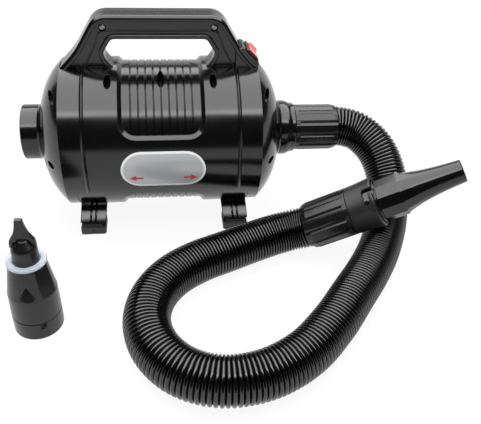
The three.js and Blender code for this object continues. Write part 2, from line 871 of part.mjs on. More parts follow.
function switchBodySolid() {
  const bezel = box(
    [-bezelLength / 2, -bezelWidth / 2, seatGap],
    [bezelLength / 2, bezelWidth / 2, seatGap + bezelHeight],
  );
  const body = box(
    [-switchLength / 2, -switchWidth / 2, -switchDepth],
    [switchLength / 2, switchWidth / 2, seatGap + bezelHeight / 2],
  );
  const mouth = box(
    [-mouthLength / 2, -mouthWidth / 2, -mouthDepth],
    [mouthLength / 2, mouthWidth / 2, cutMargin],
  );
  return onPodFace(bezel.add(body).subtract(mouth));
}

function rockerSolid() {
  const half = rockerWidth / 2;
  const geometry = new THREE.ExtrudeGeometry(new THREE.Shape(vectors([
    [-half, rockerPivotDepth], [-half, rockerPivotDepth + rockerRise],
    [0, rockerPivotDepth + rockerRise - rockerDip], [half, rockerPivotDepth + rockerRise],
    [half, rockerPivotDepth], [half * 0.6, -rockerPivotDepth], [-half * 0.6, -rockerPivotDepth],
  ])), { depth: rockerLength, bevelEnabled: false });
  geometry.translate(0, 0, -rockerLength / 2);
  geometry.rotateX(quarterTurn);
  geometry.rotateZ(quarterTurn);
  const rocker = solidOf(geometry).rotate([THREE.MathUtils.radToDeg(rockerTilt), 0, 0]);
  return onPodFace(rocker.translate([0, 0, -rockerPivotDepth]));
}

// The intake guard: a rim with cross bars on a middle boss.
function guardSolid() {
  const outer = intakeBore - seatGap;
  const rim = tube(-guardX, -guardX + guardThickness, outer, outer - guardRim, turnedSides);
  const boss = rod(-guardX, -guardX + guardThickness, guardBoss, turnedSides);
  const bars = [];
  for (let i = 0; i < guardBarCount; i += 1) {
    const bar = box(
      [-guardX, -guardBarWidth / 2, 1 - outer],
      [-guardX + guardThickness, guardBarWidth / 2, outer - 1],
    );
    bars.push(bar.rotate([180 * i / guardBarCount, 0, 0]));
  }
  return joined([rim, boss, ...bars]);
}

function filterSolid() {
  const start = -guardX + guardThickness + seatGap;
  return rod(start, start + filterThickness, intakeBore - seatGap, turnedSides);
}

function glandSolid() {
  const seatY = barrelRadius + seatGap;
  const flangeEnd = seatY + glandFlangeThickness;
  const flange = crossRod(glandX, 0, seatY, flangeEnd, glandFlangeRadius, 16);
  const body = crossRod(glandX, 0, seatY - glandLength, seatY + 1, glandRadius, 16);
  const bore = crossRod(glandX, 0, 0, barrelRadius + cutMargin, glandBore, 10);
  return flange.add(body).subtract(bore).rotate([-glandAngle, 0, 0]);
}

// ---- motor and fan ----

function fanCoverSolid() {
  const inner = fanCoverRadius - fanWall;
  const endX = motorFlangeX - seatGap;
  return turned([
    [fanCoverX, fanEyeRadius], [fanCoverX, fanCoverRadius], [endX, fanCoverRadius], [endX, inner],
    [fanCoverX + fanWall, inner], [fanCoverX + fanWall, fanEyeRadius],
  ], innerSides, true);
}

// One backward-curved blade, drawn in the fan's plane and as deep as the fan is wide.
function bladeSolid(angle) {
  const points = [];
  for (let i = 0; i <= 3; i += 1) {
    const part = i / 3;
    const radius = fanEyeRadius + (impellerRadius - 1 - fanEyeRadius) * part;
    const turn = angle + bladeTwist * part;
    points.push([radius * Math.cos(turn), radius * Math.sin(turn)]);
  }
  const shape = new THREE.Shape(vectors(stripBeside(points, bladeThickness)));
  const depth = impellerWidth - impellerPlate;
  const geometry = new THREE.ExtrudeGeometry(shape, { depth, bevelEnabled: false });
  geometry.translate(0, 0, impellerPlate / 2);
  geometry.rotateY(quarterTurn);
  return solidOf(geometry).translate([impellerX, 0, 0]);
}

function impellerSolid() {
  const endX = impellerX + impellerWidth;
  const bore = shaftRadius + seatGap;
  const eye = tube(impellerX, impellerX + impellerPlate, impellerRadius, fanEyeRadius, innerSides);
  const back = tube(endX - impellerPlate, endX, impellerRadius, hubRadius - 1, innerSides);
  const hub = tube(impellerX, endX, hubRadius, bore, shaftSides);
  const blades = [];
  for (let i = 0; i < bladeCount; i += 1) {
    blades.push(bladeSolid(i * 2 * Math.PI / bladeCount));
  }
  return joined([eye, back, hub, ...blades]);
}

// Rods along X, evenly round the axis, to cut or to count as ports.
function ringOfRods(count, ringRadius, radius, fromX, toX) {
  const first = rod(fromX, toX, radius, portSides).translate([0, 0, ringRadius]);
  const rods = [];
  for (let i = 0; i < count; i += 1) {
    rods.push(first.rotate([i * 360 / count, 0, 0]));
  }
  return joined(rods);
}

const bearingOuter = bearingRadius + seatGap;
const frontBearingX = motorFlangeX + motorWall + seatGap;
const rearBearingX = motorEndX - motorWall - seatGap - bearingWidth;

function motorFrameSolid() {
  const frontFace = motorFlangeX + motorWall;
  const rearFace = motorEndX - motorWall;
  const bore = motorRadius - motorWall;
  const can = turned([
    [motorFlangeX, shaftHoleRadius], [motorFlangeX, fanCoverRadius], [frontFace, fanCoverRadius],
    [frontFace, motorRadius], [motorEndX, motorRadius], [motorEndX, shaftHoleRadius],
    [rearFace, shaftHoleRadius], [rearFace, bearingOuter], [rearBearingX, bearingOuter],
    [rearBearingX, bearingSeatRadius], [rearFace, bearingSeatRadius], [rearFace, bore],
    [frontFace, bore], [frontFace, bearingSeatRadius],
    [frontBearingX + bearingWidth, bearingSeatRadius], [frontBearingX + bearingWidth, bearingOuter],
    [frontFace, bearingOuter], [frontFace, shaftHoleRadius],
  ], innerSides, true);
  return can.subtract(ringOfRods(ventCount, ventRing, ventRadius, motorFlangeX - 1, frontFace + 1))
    .subtract(ringOfRods(ventCount, ventRing, ventRadius, rearFace - 1, motorEndX + 1));
}

function statorSolid() {
  return tube(statorStartX, statorEndX, motorRadius - motorWall - seatGap, statorBore, innerSides);
}

// A drum on the motor's shaft.
function onShaft(fromX, toX, radius, sides) {
  return tube(fromX, toX, radius, shaftRadius + seatGap, sides);
}

function bearingSolid(startX) {
  return tube(startX, startX + bearingWidth, bearingRadius, shaftRadius + seatGap, shaftSides);
}

function brushSolid(side) {
  const near = side * (commutatorRadius + seatGap);
  const cornerReach = Math.sqrt((motorRadius - motorWall) ** 2 - (brushSize / 2) ** 2);
  const far = side * (cornerReach - seatGap - 0.4);
  const middle = (commutatorStartX + commutatorEndX) / 2;
  const half = brushSize / 2;
  return orderedBox(middle - half, middle + half, near, far, -half, half);
}

// A rubber ring that grips a bulkhead's edge between two flanges.
function mountRing(bulkheadX, seatRadius) {
  const inner = seatRadius + seatGap;
  const neck = seatRadius + mountRubber;
  const flange = neck + mountFlange;
  const grip = bulkheadHalfWidth + seatGap;
  return turned([
    [bulkheadX - mountHalfWidth, inner], [bulkheadX - mountHalfWidth, flange],
    [bulkheadX - grip, flange], [bulkheadX - grip, neck], [bulkheadX + grip, neck],
    [bulkheadX + grip, flange], [bulkheadX + mountHalfWidth, flange],
    [bulkheadX + mountHalfWidth, inner],
  ], innerSides, true);
}

// ---- hose, cuffs and nozzles ----

// A cuff along X with flats between grooves, a plain band at its start and a chamfer at its lip.
function flutedCuff(length) {
  const plainRing = (x, radius) => {
    const ring = [];
    for (let i = 0; i < cuffFlatCount; i += 1) {
      const middle = (i + 0.5) * 2 * Math.PI / cuffFlatCount;
      for (const shift of [-cuffGrooveAngle, 0, cuffGrooveAngle]) {
        ring.push([x, radius * Math.cos(middle + shift), radius * Math.sin(middle + shift)]);
      }
    }
    return ring;
  };
  const flutedRing = (x, radius) => plainRing(x, radius).map(([place, y, z], i) => {
    const scale = i % 3 === 1 ? (radius - cuffGroove) / radius : 1;
    return [place, y * scale, z * scale];
  });
  return lofted([
    plainRing(0, cuffRadius), plainRing(cuffBand, cuffRadius), flutedRing(cuffBand + 0.6, cuffRadius),
    flutedRing(length - cuffChamfer, cuffRadius), flutedRing(length, cuffLipRadius + cuffGroove / 2),
  ]);
}

function machineCuffSolid() {
  const startX = outletLipX + seatGap;
  const outside = flutedCuff(cuffLength).translate([startX, 0, 0]);
  const tail = rod(startX - tailLength, startX + 1, outletTailRadius, turnedSides);
  const pins = bayonetPins(outletLipX, cuffThroat + 1, outletPinRadius, outletSlotFacing);
  const throat = rod(startX - tailLength - 1, hoseStartX, cuffThroat, turnedSides);
  const socket = rod(hoseStartX - seatGap, startX + cuffLength + 1, hoseSocketRadius, turnedSides);
  return joined([outside, tail, ...pins]).subtract(throat).subtract(socket);
}

// The ribbed tube: rings round the centre line, crest and valley in turn, and a smooth bore inside.
function hoseSolid() {
  const curve = new THREE.CatmullRomCurve3(hoseRoute.map((point) => new THREE.Vector3(...point)));
  curve.arcLengthDivisions = 4000;
  const stations = stationsPerRib * hoseRibs;
  const centres = curve.getSpacedPoints(stations);
  const frames = curve.computeFrenetFrames(stations, false);
  const position = [];
  const index = [];
  const addRing = (station, radius) => {
    for (let i = 0; i < hoseSides; i += 1) {
      const angle = (i + 0.5) * 2 * Math.PI / hoseSides;
      const point = centres[station].clone()
        .addScaledVector(frames.normals[station], radius * Math.cos(angle))
        .addScaledVector(frames.binormals[station], radius * Math.sin(angle));
      position.push(point.x, point.y, point.z);
    }
  };
  const bridge = (from, to) => {
    for (let i = 0; i < hoseSides; i += 1) {
      const next = (i + 1) % hoseSides;
      index.push(from + i, from + next, to + next, from + i, to + next, to + i);
    }
  };
  const outerRings = [];
  for (let station = 0; station <= stations; station += 1) {
    outerRings.push(position.length / 3);
    addRing(station, station % stationsPerRib === 0 ? hoseValley : hoseRadius);
  }
  const boreRings = [];
  for (let station = 0; station <= stations; station += stationsPerRib * ribsPerBoreRing) {
    boreRings.push(position.length / 3);
    addRing(station, hoseBore);
  }
  const loop = [...outerRings, ...boreRings.reverse()];
  loop.forEach((ring, i) => bridge(ring, loop[(i + 1) % loop.length]));
  const geometry = new THREE.BufferGeometry();
  geometry.setAttribute('position', new THREE.Float32BufferAttribute(position, 3));
  geometry.setIndex(index);
  return solidOf(geometry);
}

// Sets a solid that is modelled along X from the hand end's start in its place.
function onHandAxis(solid) {
  const along = new THREE.Vector3(...handDirection).normalize();
  const up = new THREE.Vector3(0, 0, 1).addScaledVector(along, -along.z).normalize();
  const across = new THREE.Vector3().crossVectors(up, along);
  const place = new THREE.Matrix4().makeBasis(along, across, up).setPosition(...handStart);
  return solid.transform(place.elements);
}

function handCuffSolid() {
  const outside = flutedCuff(handCuffLength).rotate([0, 180, 0]).translate([handCuffLength, 0, 0]);
  const seat = handHoseDepth + seatGap;
  const socket = rod(-1, seat, hoseSocketRadius, turnedSides);
  const throat = rod(0, handCuffLength, cuffThroat, turnedSides);
  const neckSeat = rod(seat + handWebThickness, handCuffLength + 1, collarNeckRadius + seatGap, turnedSides);
  return onHandAxis(outside.subtract(socket).subtract(throat).subtract(neckSeat));
}

const collarStart = handCuffLength + seatGap;
const collarLip = collarStart + collarLength;
const collarBore = nozzleTailRadius + turningGap;

function collarSolid() {
  const neckStart = handHoseDepth + handWebThickness + 2 * seatGap;
  const ring = turned([
    [neckStart, cuffThroat], [neckStart, collarNeckRadius], [collarStart, collarNeckRadius],
    [collarStart, collarStartRadius], [collarStart + collarLength / 2, collarStartRadius + 0.6],
    [collarLip - 1.2, collarLipRadius], [collarLip, collarLipRadius - 0.8], [collarLip, collarBore],
    [collarStart + collarBase, collarBore], [collarStart + collarBase, cuffThroat],
  ], turnedSides, true);
  const slots = bayonetSlots(collarLip, collarLipRadius + 2, collarSlotFacing);
  return onHandAxis(ring.subtract(joined(slots)));
}

function nozzleSolid() {
  const tailStart = collarLip - nozzleTailLength;
  const neck = collarLip + 2;
  const gripEnd = collarLip + nozzleGripLength;
  const tip = gripEnd + nozzleTipLength;
  const bend = [(gripEnd + tip) / 2 - 4, nozzleWaistRadius];
  const taper = curvePoints([gripEnd + 1, nozzleGripRadius - 1], bend, [tip, nozzleTipRadius], 4);
  const body = turned([
    [tailStart, nozzleTailRadius], [collarLip + 1, nozzleTailRadius], [neck, nozzleNeckRadius],
    [gripEnd, nozzleGripRadius], ...taper,
    ...taper.map(([x, radius]) => [x, radius - nozzleWall]).reverse(),
    [neck, nozzleNeckRadius - nozzleWall], [tailStart, nozzleNeckRadius - nozzleWall],
  ], turnedSides, true);
  const flat = box(
    [neck, -nozzleGripRadius, nozzleGripRadius - nozzleFlatDepth],
    [gripEnd + 1, nozzleGripRadius, nozzleGripRadius + cutMargin],
  );
  const flats = [];
  for (let i = 0; i < nozzleFlatCount; i += 1) {
    flats.push(flat.rotate([nozzleFlatFacing + i * 360 / nozzleFlatCount, 0, 0]));
  }
  const pins = bayonetPins(collarLip, nozzleNeckRadius - 1, collarBore + pinRise, collarSlotFacing);
  return onHandAxis(joined([body.subtract(joined(flats)), ...pins]));
}

function standUp(solid) {
  return solid.rotate([0, -90, 0]).translate([spareX, spareY, 0]);
}

function spareNozzleSolid() {
  const groove = spareRadius - spareGrooveDepth;
  const coneTop = spareConeHeight;
  const outer = [
    [0, spareRadius], [spareGrooveHeight - 0.8, spareRadius], [spareGrooveHeight, groove],
    [spareGrooveHeight + 0.8, spareRadius], [spareShoulderHeight, spareShoulderRadius],
    [coneTop, spareConeRadius], [coneTop, spareNeckRadius], [spareNeckHeight, spareNeckRadius - 0.6],
    [spareNeckHeight, spareDomeRadius], [spareDomeHeight - 3, spareDomeRadius - 0.6],
    [spareDomeHeight, spareMouthRadius + 1],
  ];
  const inner = [
    [spareDomeHeight, spareMouthRadius],
    [spareNeckHeight - spareWall, spareNeckRadius - spareWall - 1],
    [coneTop - 2 * spareWall, spareNeckRadius - spareWall],
    [spareShoulderHeight, spareShoulderRadius - 2 * spareWall],
    [spareGrooveHeight + 4, spareRadius - spareWall], [0, spareRadius - spareWall],
  ];
  const body = turned([...outer, ...inner], turnedSides, true);
  const slope = Math.atan2(spareShoulderRadius - spareConeRadius, coneTop - spareShoulderHeight);
  const slopeTurn = THREE.MathUtils.radToDeg(slope);
  const flatLength = Math.hypot(spareShoulderRadius - spareConeRadius, coneTop - spareShoulderHeight);
  const flat = box([0, -spareRadius, -spareFlatDepth], [flatLength + 2, spareRadius, cutMargin])
    .rotate([0, slopeTurn, 0])
    .translate([spareShoulderHeight, 0, spareShoulderRadius]);
  const flats = [];
  for (let i = 0; i < spareFlatCount; i += 1) {
    flats.push(flat.rotate([spareFlatFacing + i * 360 / spareFlatCount, 0, 0]));
  }
  const notchRoot = spareShoulderRadius - spareNotchDepth;
  const notch = lofted([spareRadius + cutMargin, notchRoot].map((radius) => [
    [spareShoulderHeight + 1, -spareNotchWidth / 2, radius],
    [spareShoulderHeight + 1, spareNotchWidth / 2, radius],
    [spareShoulderHeight + 1 + spareNotchHeight, 0, radius],
  ])).rotate([spareNotchFacing, 0, 0]);
  const pins = [0, 180].map((angle) => {
    const geometry = new THREE.CylinderGeometry(pinRadius, pinRadius, spareWall + pinRise - 1, 10);
    geometry.rotateX(quarterTurn);
    geometry.translate(sparePinHeight, 0, spareRadius + (pinRise - 1 - spareWall) / 2);
    return solidOf(geometry).rotate([sparePinFacing + angle, 0, 0]);
  });
  return standUp(joined([body.subtract(joined(flats)).subtract(notch), ...pins]));
}

// The blade over the spare nozzle's mouth: two legs on the neck's shoulder that meet above the dome.
function spareTipSolid() {
  const foot = spareNeckHeight + seatGap;
  const side = [
    [tipLegOuter, foot], [tipLegOuter - 0.4, foot + 7], [tipLegOuter - 4, foot + 13],
    [tipWidth / 2 + 1.5, tipHeight - 9], [tipWidth / 2, tipHeight],
  ];
  const arch = curvePoints([tipLegInner, foot], [tipLegInner - 0.5, tipArchHeight], [0, tipArchHeight], 4);
  const half = [...arch.slice(1).reverse(), [tipLegInner, foot], ...side];
  const whole = [...mirrored(half).slice(0, -1), ...half];
  return plate(whole, tipHalfThickness).translate([spareX, spareY, 0]);
}

function sealRingSolid() {
  const seat = spareConeHeight + seatGap;
  return standUp(tube(
    seat,
    seat + sealThickness,
    sealOuterRadius,
    spareNeckRadius + seatGap,
    turnedSides,
  ));
}

// ---- the whole ----

const housing = housingSolid();

// These are modelled round the blower's axis.
const blowerNodes = [
  node('front_shell', shellHalf(housing, -1), gloss),
  node('rear_shell', shellHalf(housing, 1), gloss),
  ...footSides.map((sides, i) => node(footNames[i], footPadSolid(sides), rubber)),
  ...screwPlaces.map((place) => node(place.name, screwSolid(place), steel)),
  node('label_plate', labelSolid(), silver),
  node('switch_body', switchBodySolid(), satin),
  node('switch_rocker', rockerSolid(), red),
  node('intake_guard', guardSolid(), satin),
  node('intake_filter', filterSolid(), foam),
  node('cord_gland', glandSolid(), rubber),
  node('fan_cover', fanCoverSolid(), satin),
  node('impeller', impellerSolid(), steel),
  node('motor_frame', motorFrameSolid(), steel),
  node('front_bearing', bearingSolid(frontBearingX), steel),
  node('rear_bearing', bearingSolid(rearBearingX), steel),
  node('stator', statorSolid(), copper),
  node('armature', onShaft(statorStartX, statorEndX, armatureRadius, innerSides), copper),
  node('commutator', onShaft(commutatorStartX, commutatorEndX, commutatorRadius, shaftSides), copper),
  node('rotor_shaft', rod(impellerX - 3, motorEndX + 2, shaftRadius, shaftSides), steel),
  node('brush_front', brushSolid(-1), carbon),
  node('brush_rear', brushSolid(1), carbon),
  node('fan_mount', mountRing(frontBulkheadX, fanCoverRadius), rubber),
  node('motor_mount', mountRing(rearBulkheadX, motorRadius), rubber),
  node('machine_cuff', machineCuffSolid(), gloss),
];
const blower = new THREE.Group();
blower.position.set(axisX, axisY, axisHeight);
blower.add(...blowerNodes);

// These are modelled where they lie, from the floor up.
const looseNodes = [
  node('hose', hoseSolid(), satin),
  node('hand_cuff', handCuffSolid(), gloss),
  node('bayonet_collar', collarSolid(), gloss),
  node('round_nozzle', nozzleSolid(), gloss),
  node('spare_nozzle', spareNozzleSolid(), gloss),
  node('spare_nozzle_tip', spareTipSolid(), satin),
  node('seal_ring', sealRingSolid(), silicone),
];

const group = new THREE.Group();
group.add(blower, ...looseNodes);

export default group;
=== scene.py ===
import math

import bmesh
import bpy
from mathutils import Matrix, Vector


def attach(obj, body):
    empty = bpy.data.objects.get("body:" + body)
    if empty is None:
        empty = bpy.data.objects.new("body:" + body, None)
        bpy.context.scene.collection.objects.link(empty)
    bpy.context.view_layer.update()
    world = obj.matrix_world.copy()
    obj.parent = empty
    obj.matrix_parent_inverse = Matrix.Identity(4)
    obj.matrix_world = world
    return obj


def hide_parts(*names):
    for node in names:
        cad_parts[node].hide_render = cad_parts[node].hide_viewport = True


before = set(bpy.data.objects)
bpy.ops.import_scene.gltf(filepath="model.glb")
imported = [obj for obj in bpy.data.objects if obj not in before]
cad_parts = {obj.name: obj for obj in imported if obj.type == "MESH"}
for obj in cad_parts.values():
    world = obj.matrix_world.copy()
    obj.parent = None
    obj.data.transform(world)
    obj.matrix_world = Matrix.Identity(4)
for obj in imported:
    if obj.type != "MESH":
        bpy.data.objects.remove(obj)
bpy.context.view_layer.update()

mm = 0.001
blowerPlace = Vector((0, 70.1, 115)) * mm  # middle of the blower on its axis
scene = bpy.context.scene
scene.view_settings.view_transform = "Standard"


def linear(hexColour):
    channels = [int(hexColour[i:i + 2], 16) / 255 for i in (1, 3, 5)]
    return [c / 12.92 if c <= 0.04045 else ((c + 0.055) / 1.055) ** 2.4 for c in channels] + [1]


def addNode(tree, kind, settings=None, links=None):
    # settings hold properties and socket values, links hold sockets to join
    node = tree.nodes.new(kind)
    for key, value in (settings or {}).items():
        if key in node.inputs:
            node.inputs[key].default_value = value
        else:
            setattr(node, key, value)
    for key, source in (links or {}).items():
        tree.links.new(source, node.inputs[key])
    return node


def newMaterial(name, shader):
    material = bpy.data.materials.new(name)
    material.use_nodes = True
    tree = material.node_tree
    tree.nodes.clear()
    output = addNode(tree, "ShaderNodeOutputMaterial")
    surface = addNode(tree, "ShaderNodeBsdfPrincipled", shader)
    tree.links.new(surface.outputs["BSDF"], output.inputs["Surface"])
    return material, tree, surface


patchWidth = 83  # mm, hand-sized patches of slightly different tone and shine


def makeFinish(name, look):
    # One recipe for all finishes: an even ground with slow colour variation, a fine tool or grain
    # texture as bump, a roughness that wanders with handling, and edges rounded and rubbed brighter.
    # grain is the width of one mark in millimetres, before stretch: moulding and press marks are
    # really about 0.05 mm wide, and are drawn some ten times coarser so that they show
    material, tree, surface = newMaterial(name, {
        "IOR": look.get("ior", 1.5), "Metallic": look.get("metal", 0.0),
        "Transmission Weight": look.get("clear", 0.0), "Coat Weight": look.get("coat", 0.0),
        "Coat Roughness": 0.06,
    })
    place = addNode(tree, "ShaderNodeTexCoord").outputs["Object"]
    drawn = addNode(tree, "ShaderNodeMapping", {"Scale": look.get("stretch", (1, 1, 1))}, {"Vector": place})
    grain = addNode(tree, "ShaderNodeTexNoise", {"Scale": 1 / (look["grain"] * mm), "Detail": 3.0},
                    {"Vector": drawn.outputs["Vector"]})
    slow = addNode(tree, "ShaderNodeTexNoise", {"Scale": 1 / (patchWidth * mm), "Detail": 6.0}, {"Vector": place})
    facing = addNode(tree, "ShaderNodeNewGeometry").outputs["Normal"]
    rounded = facing
    if look["edge"]:
        rounded = addNode(tree, "ShaderNodeBevel", {"samples": 4, "Radius": look["edge"] * mm}).outputs["Normal"]
    alike = addNode(tree, "ShaderNodeVectorMath", {"operation": "DOT_PRODUCT"},
                    {0: facing, 1: rounded})
    worn = addNode(tree, "ShaderNodeMapRange", {
        "From Min": 0.995, "From Max": 0.9, "To Min": 0.0, "To Max": look.get("wear", 0.35),
    }, {"Value": alike.outputs["Value"]})
    ground = addNode(tree, "ShaderNodeMix", {"data_type": "RGBA"}, {"Factor": slow.outputs["Fac"]})
    ground.inputs[6].default_value = linear(look["dark"])
    ground.inputs[7].default_value = linear(look["light"])
    colour = addNode(tree, "ShaderNodeMix", {"data_type": "RGBA"}, {"Factor": worn.outputs["Result"]})
    colour.inputs[7].default_value = linear(look["rub"])
    tree.links.new(ground.outputs[2], colour.inputs[6])
    tree.links.new(colour.outputs[2], surface.inputs["Base Color"])
    rough = addNode(tree, "ShaderNodeMapRange", {
        "From Min": 0.3, "From Max": 0.7, "To Min": look["roughness"] - look["haze"],
        "To Max": look["roughness"] + look["haze"],
    }, {"Value": slow.outputs["Fac"]})
    tree.links.new(rough.outputs["Result"], surface.inputs["Roughness"])
    bump = addNode(tree, "ShaderNodeBump", {"Strength": look["bump"], "Distance": 0.0001},
                   {"Height": grain.outputs["Fac"], "Normal": rounded})
    tree.links.new(bump.outputs["Normal"], surface.inputs["Normal"])
    return material


def finishPiece(name, bm, material, body, replaces=(), sharp=32):
    mesh = bpy.data.meshes.new(name)
    bm.to_mesh(mesh)
    bm.free()
    return settlePiece(bpy.data.objects.new(name, mesh), material, body, replaces, sharp)


def settlePiece(piece, material, body, replaces=(), sharp=32):
    if piece.name not in scene.collection.objects:
        scene.collection.objects.link(piece)
    piece.data.materials.clear()
    piece.data.materials.append(material)
    for face in piece.data.polygons:
        face.use_smooth = True
    piece.data.set_sharp_from_angle(angle=math.radians(sharp))
    even = piece.modifiers.new("evenShading", "WEIGHTED_NORMAL")  # keeps broad faces calm beside cuts
    even.keep_sharp = True
    if replaces:
        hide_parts(*replaces)
    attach(piece, body)
    return piece


def turnedMesh(profile, steps, ring=True):
    # [along, radius] pairs in millimetres, spun about X
    bm = bmesh.new()
    verts = [bm.verts.new((along * mm, 0, radius * mm)) for along, radius in profile]
    edges = [bm.edges.new(pair) for pair in zip(verts, verts[1:])]
    if ring:
        edges.append(bm.edges.new((verts[-1], verts[0])))
    bmesh.ops.spin(bm, geom=verts + edges, cent=(0, 0, 0), axis=(1, 0, 0), angle=math.tau,
                   steps=steps, use_merge=True, use_duplicate=False)
    bmesh.ops.remove_doubles(bm, verts=bm.verts, dist=1e-6)
    bmesh.ops.recalc_face_normals(bm, faces=bm.faces)
    return bm


def plateMesh(outline, halfDepth, bevel=0.0, segments=2):
    # an outline of [x, z] pairs in millimetres, drawn out along Y and bevelled round both faces
    bm = bmesh.new()
    verts = [bm.verts.new((x * mm, -halfDepth * mm, z * mm)) for x, z in outline]
    face = bm.faces.new(verts)
    grown = bmesh.ops.extrude_face_region(bm, geom=[face])
    moved = [v for v in grown["geom"] if isinstance(v, bmesh.types.BMVert)]
    bmesh.ops.translate(bm, verts=moved, vec=(0, 2 * halfDepth * mm, 0))
    bmesh.ops.recalc_face_normals(bm, faces=bm.faces)
    if bevel:
        rim = [e for e in bm.edges if abs(e.verts[0].co.y - e.verts[1].co.y) < 1e-7]
        bmesh.ops.bevel(bm, geom=rim, offset=bevel * mm, offset_type="OFFSET", affect="EDGES",
                        segments=segments, profile=0.5, material=-1, clamp_overlap=True)
    return bm


def boxMesh(low, high, bevel=0.0, segments=2):
    bm = bmesh.new()
    bmesh.ops.create_cube(bm, size=1)
    size = [(b - a) * mm for a, b in zip(low, high)]
    middle = [(a + b) / 2 * mm for a, b in zip(low, high)]
    bmesh.ops.scale(bm, vec=size, verts=bm.verts)
    bmesh.ops.translate(bm, vec=middle, verts=bm.verts)
    if bevel:
        bmesh.ops.bevel(bm, geom=bm.edges, offset=bevel * mm, offset_type="OFFSET", affect="EDGES",
                        segments=segments, profile=0.5, material=-1, clamp_overlap=True)
    return bm


def moveMesh(bm, matrix):
    bmesh.ops.transform(bm, matrix=matrix, verts=bm.verts)
    return bm


def looseObject(name, bm):
    mesh = bpy.data.meshes.new(name)
    bm.to_mesh(mesh)
    bm.free()
    loose = bpy.data.objects.new(name, mesh)
    scene.collection.objects.link(loose)
    return loose


def shapeBy(target, tools, operation="DIFFERENCE"):
    # cuts or joins with exact booleans, and removes the tools
    for tool in tools:
        cut = target.modifiers.new(operation.lower(), "BOOLEAN")
        cut.operation = operation
        cut.solver = "EXACT"
        cut.object = tool
        tool.hide_render = True
    bpy.context.view_layer.update()
    result = bpy.data.meshes.new_from_object(target.evaluated_get(bpy.context.evaluated_depsgraph_get()))
    target.modifiers.clear()
    target.data = result
    for tool in tools:
        bpy.data.objects.remove(tool)
    return target


def arc(centreX, centreZ, radius, fromDegrees, toDegrees, steps):
    turns = [math.radians(fromDegrees + (toDegrees - fromDegrees) * i / steps) for i in range(steps + 1)]
    return [(centreX + radius * math.cos(t), centreZ + radius * math.sin(t)) for t in turns]


def bend(start, control, end, steps):
    points = []
    for i in range(steps + 1):
        t = i / steps
        points.append(tuple((1 - t) ** 2 * a + 2 * t * (1 - t) * b + t * t * c
                            for a, b, c in zip(start, control, end)))
    return points


def onBlower(bm):
    return moveMesh(bm, Matrix.Translation(blowerPlace))


def loftMesh(rings):
    # rings of [x, y, z] in millimetres, bridged in turn and closed by flat ends
    bm = bmesh.new()
    loops = []
    for ring in rings:
        verts = [bm.verts.new([c * mm for c in point]) for point in ring]
        loops.append([bm.edges.new(pair) for pair in zip(verts, verts[1:] + verts[:1])])
    for low, high in zip(loops, loops[1:]):
        bmesh.ops.bridge_loops(bm, edges=low + high)
    for loop in (loops[0], loops[-1]):
        bmesh.ops.edgeloop_fill(bm, edges=loop)
    bmesh.ops.recalc_face_normals(bm, faces=bm.faces)
    return bm


cameraLook = {
    "place": (-0.89, -607.77, 504.56), "yaw": 8.85, "pitch": 37.36, "roll": 3.42, "lens": 46.275,
}


def makeCamera(look):
    yaw, pitch, roll = (math.radians(look[k]) for k in ("yaw", "pitch", "roll"))
    forward = Vector((math.sin(yaw) * math.cos(pitch), math.cos(yaw) * math.cos(pitch), -math.sin(pitch)))
    level = Vector((math.cos(yaw), -math.sin(yaw), 0))
    upright = level.cross(forward)
    right = math.cos(roll) * level + math.sin(roll) * upright
    up = -math.sin(roll) * level + math.cos(roll) * upright
    data = bpy.data.cameras.new("photoCamera")
    data.lens = look["lens"]
    data.sensor_width = 36
    data.clip_start = 0.01
    camera = bpy.data.objects.new("photoCamera", data)
    turn = Matrix((right, up, -forward)).transposed().to_4x4()
    camera.matrix_world = Matrix.Translation(Vector(look["place"]) * mm) @ turn
    scene.collection.objects.link(camera)
    scene.camera = camera


makeCamera(cameraLook)
print("camera is set")


glossAbs = makeFinish("glossyBlackAbsMoulded", {  # shells: polished tool, tight reflections, rubbed edges
    "dark": "#040404", "light": "#090909", "rub": "#222223", "roughness": 0.17, "haze": 0.03, "ior": 1.54,
    "grain": 0.45, "bump": 0.04, "edge": 0.5,
})
satinPp = makeFinish("satinBlackPolypropyleneMoulded", {  # cuffs and nozzles: etched tool, greyer sheen
    "dark": "#070707", "light": "#0e0e0e", "rub": "#2a2a2b", "roughness": 0.27, "haze": 0.04,
    "grain": 0.62, "bump": 0.12, "edge": 0.5,
})
etchedPp = makeFinish("etchedBlackPolypropyleneMoulded", {  # collar: sandblasted tool, even grey sheen
    "dark": "#131314", "light": "#1d1d1e", "rub": "#303031", "roughness": 0.4, "haze": 0.05,
    "grain": 0.5, "bump": 0.2, "edge": 0.5,
})
hoseEva = makeFinish("ribbedBlackEvaBlown", {  # blown hose: waxy, a wide highlight on every rib
    "dark": "#020202", "light": "#060606", "rub": "#202020", "roughness": 0.14, "haze": 0.04, "ior": 1.62,
    "grain": 1.11, "bump": 0.06, "edge": 0,
})
footRubber = makeFinish("mattBlackRubberPressed", {  # feet, gland and mounts: dull and a little dusty
    "dark": "#282628", "light": "#3a383a", "rub": "#504e50", "roughness": 0.6, "haze": 0.07,
    "grain": 0.71, "bump": 0.3, "edge": 0.6,
})
labelSilver = makeFinish("silverGreyLabelFilmPrinted", {  # label field: metallic print under a clear film
    "dark": "#a9abae", "light": "#b9bbbe", "rub": "#c9cacc", "roughness": 0.32, "haze": 0.04, "metal": 0.25,
    "grain": 0.33, "bump": 0.05, "edge": 0.1, "coat": 0.4,
})
labelWhite = makeFinish("whiteLabelRimPrinted", {  # rim of the label: bright unprinted film
    "dark": "#dcdcdd", "light": "#e6e6e7", "rub": "#eeeeee", "roughness": 0.35, "haze": 0.03,
    "grain": 0.33, "bump": 0.04, "edge": 0.1, "coat": 0.3,
})
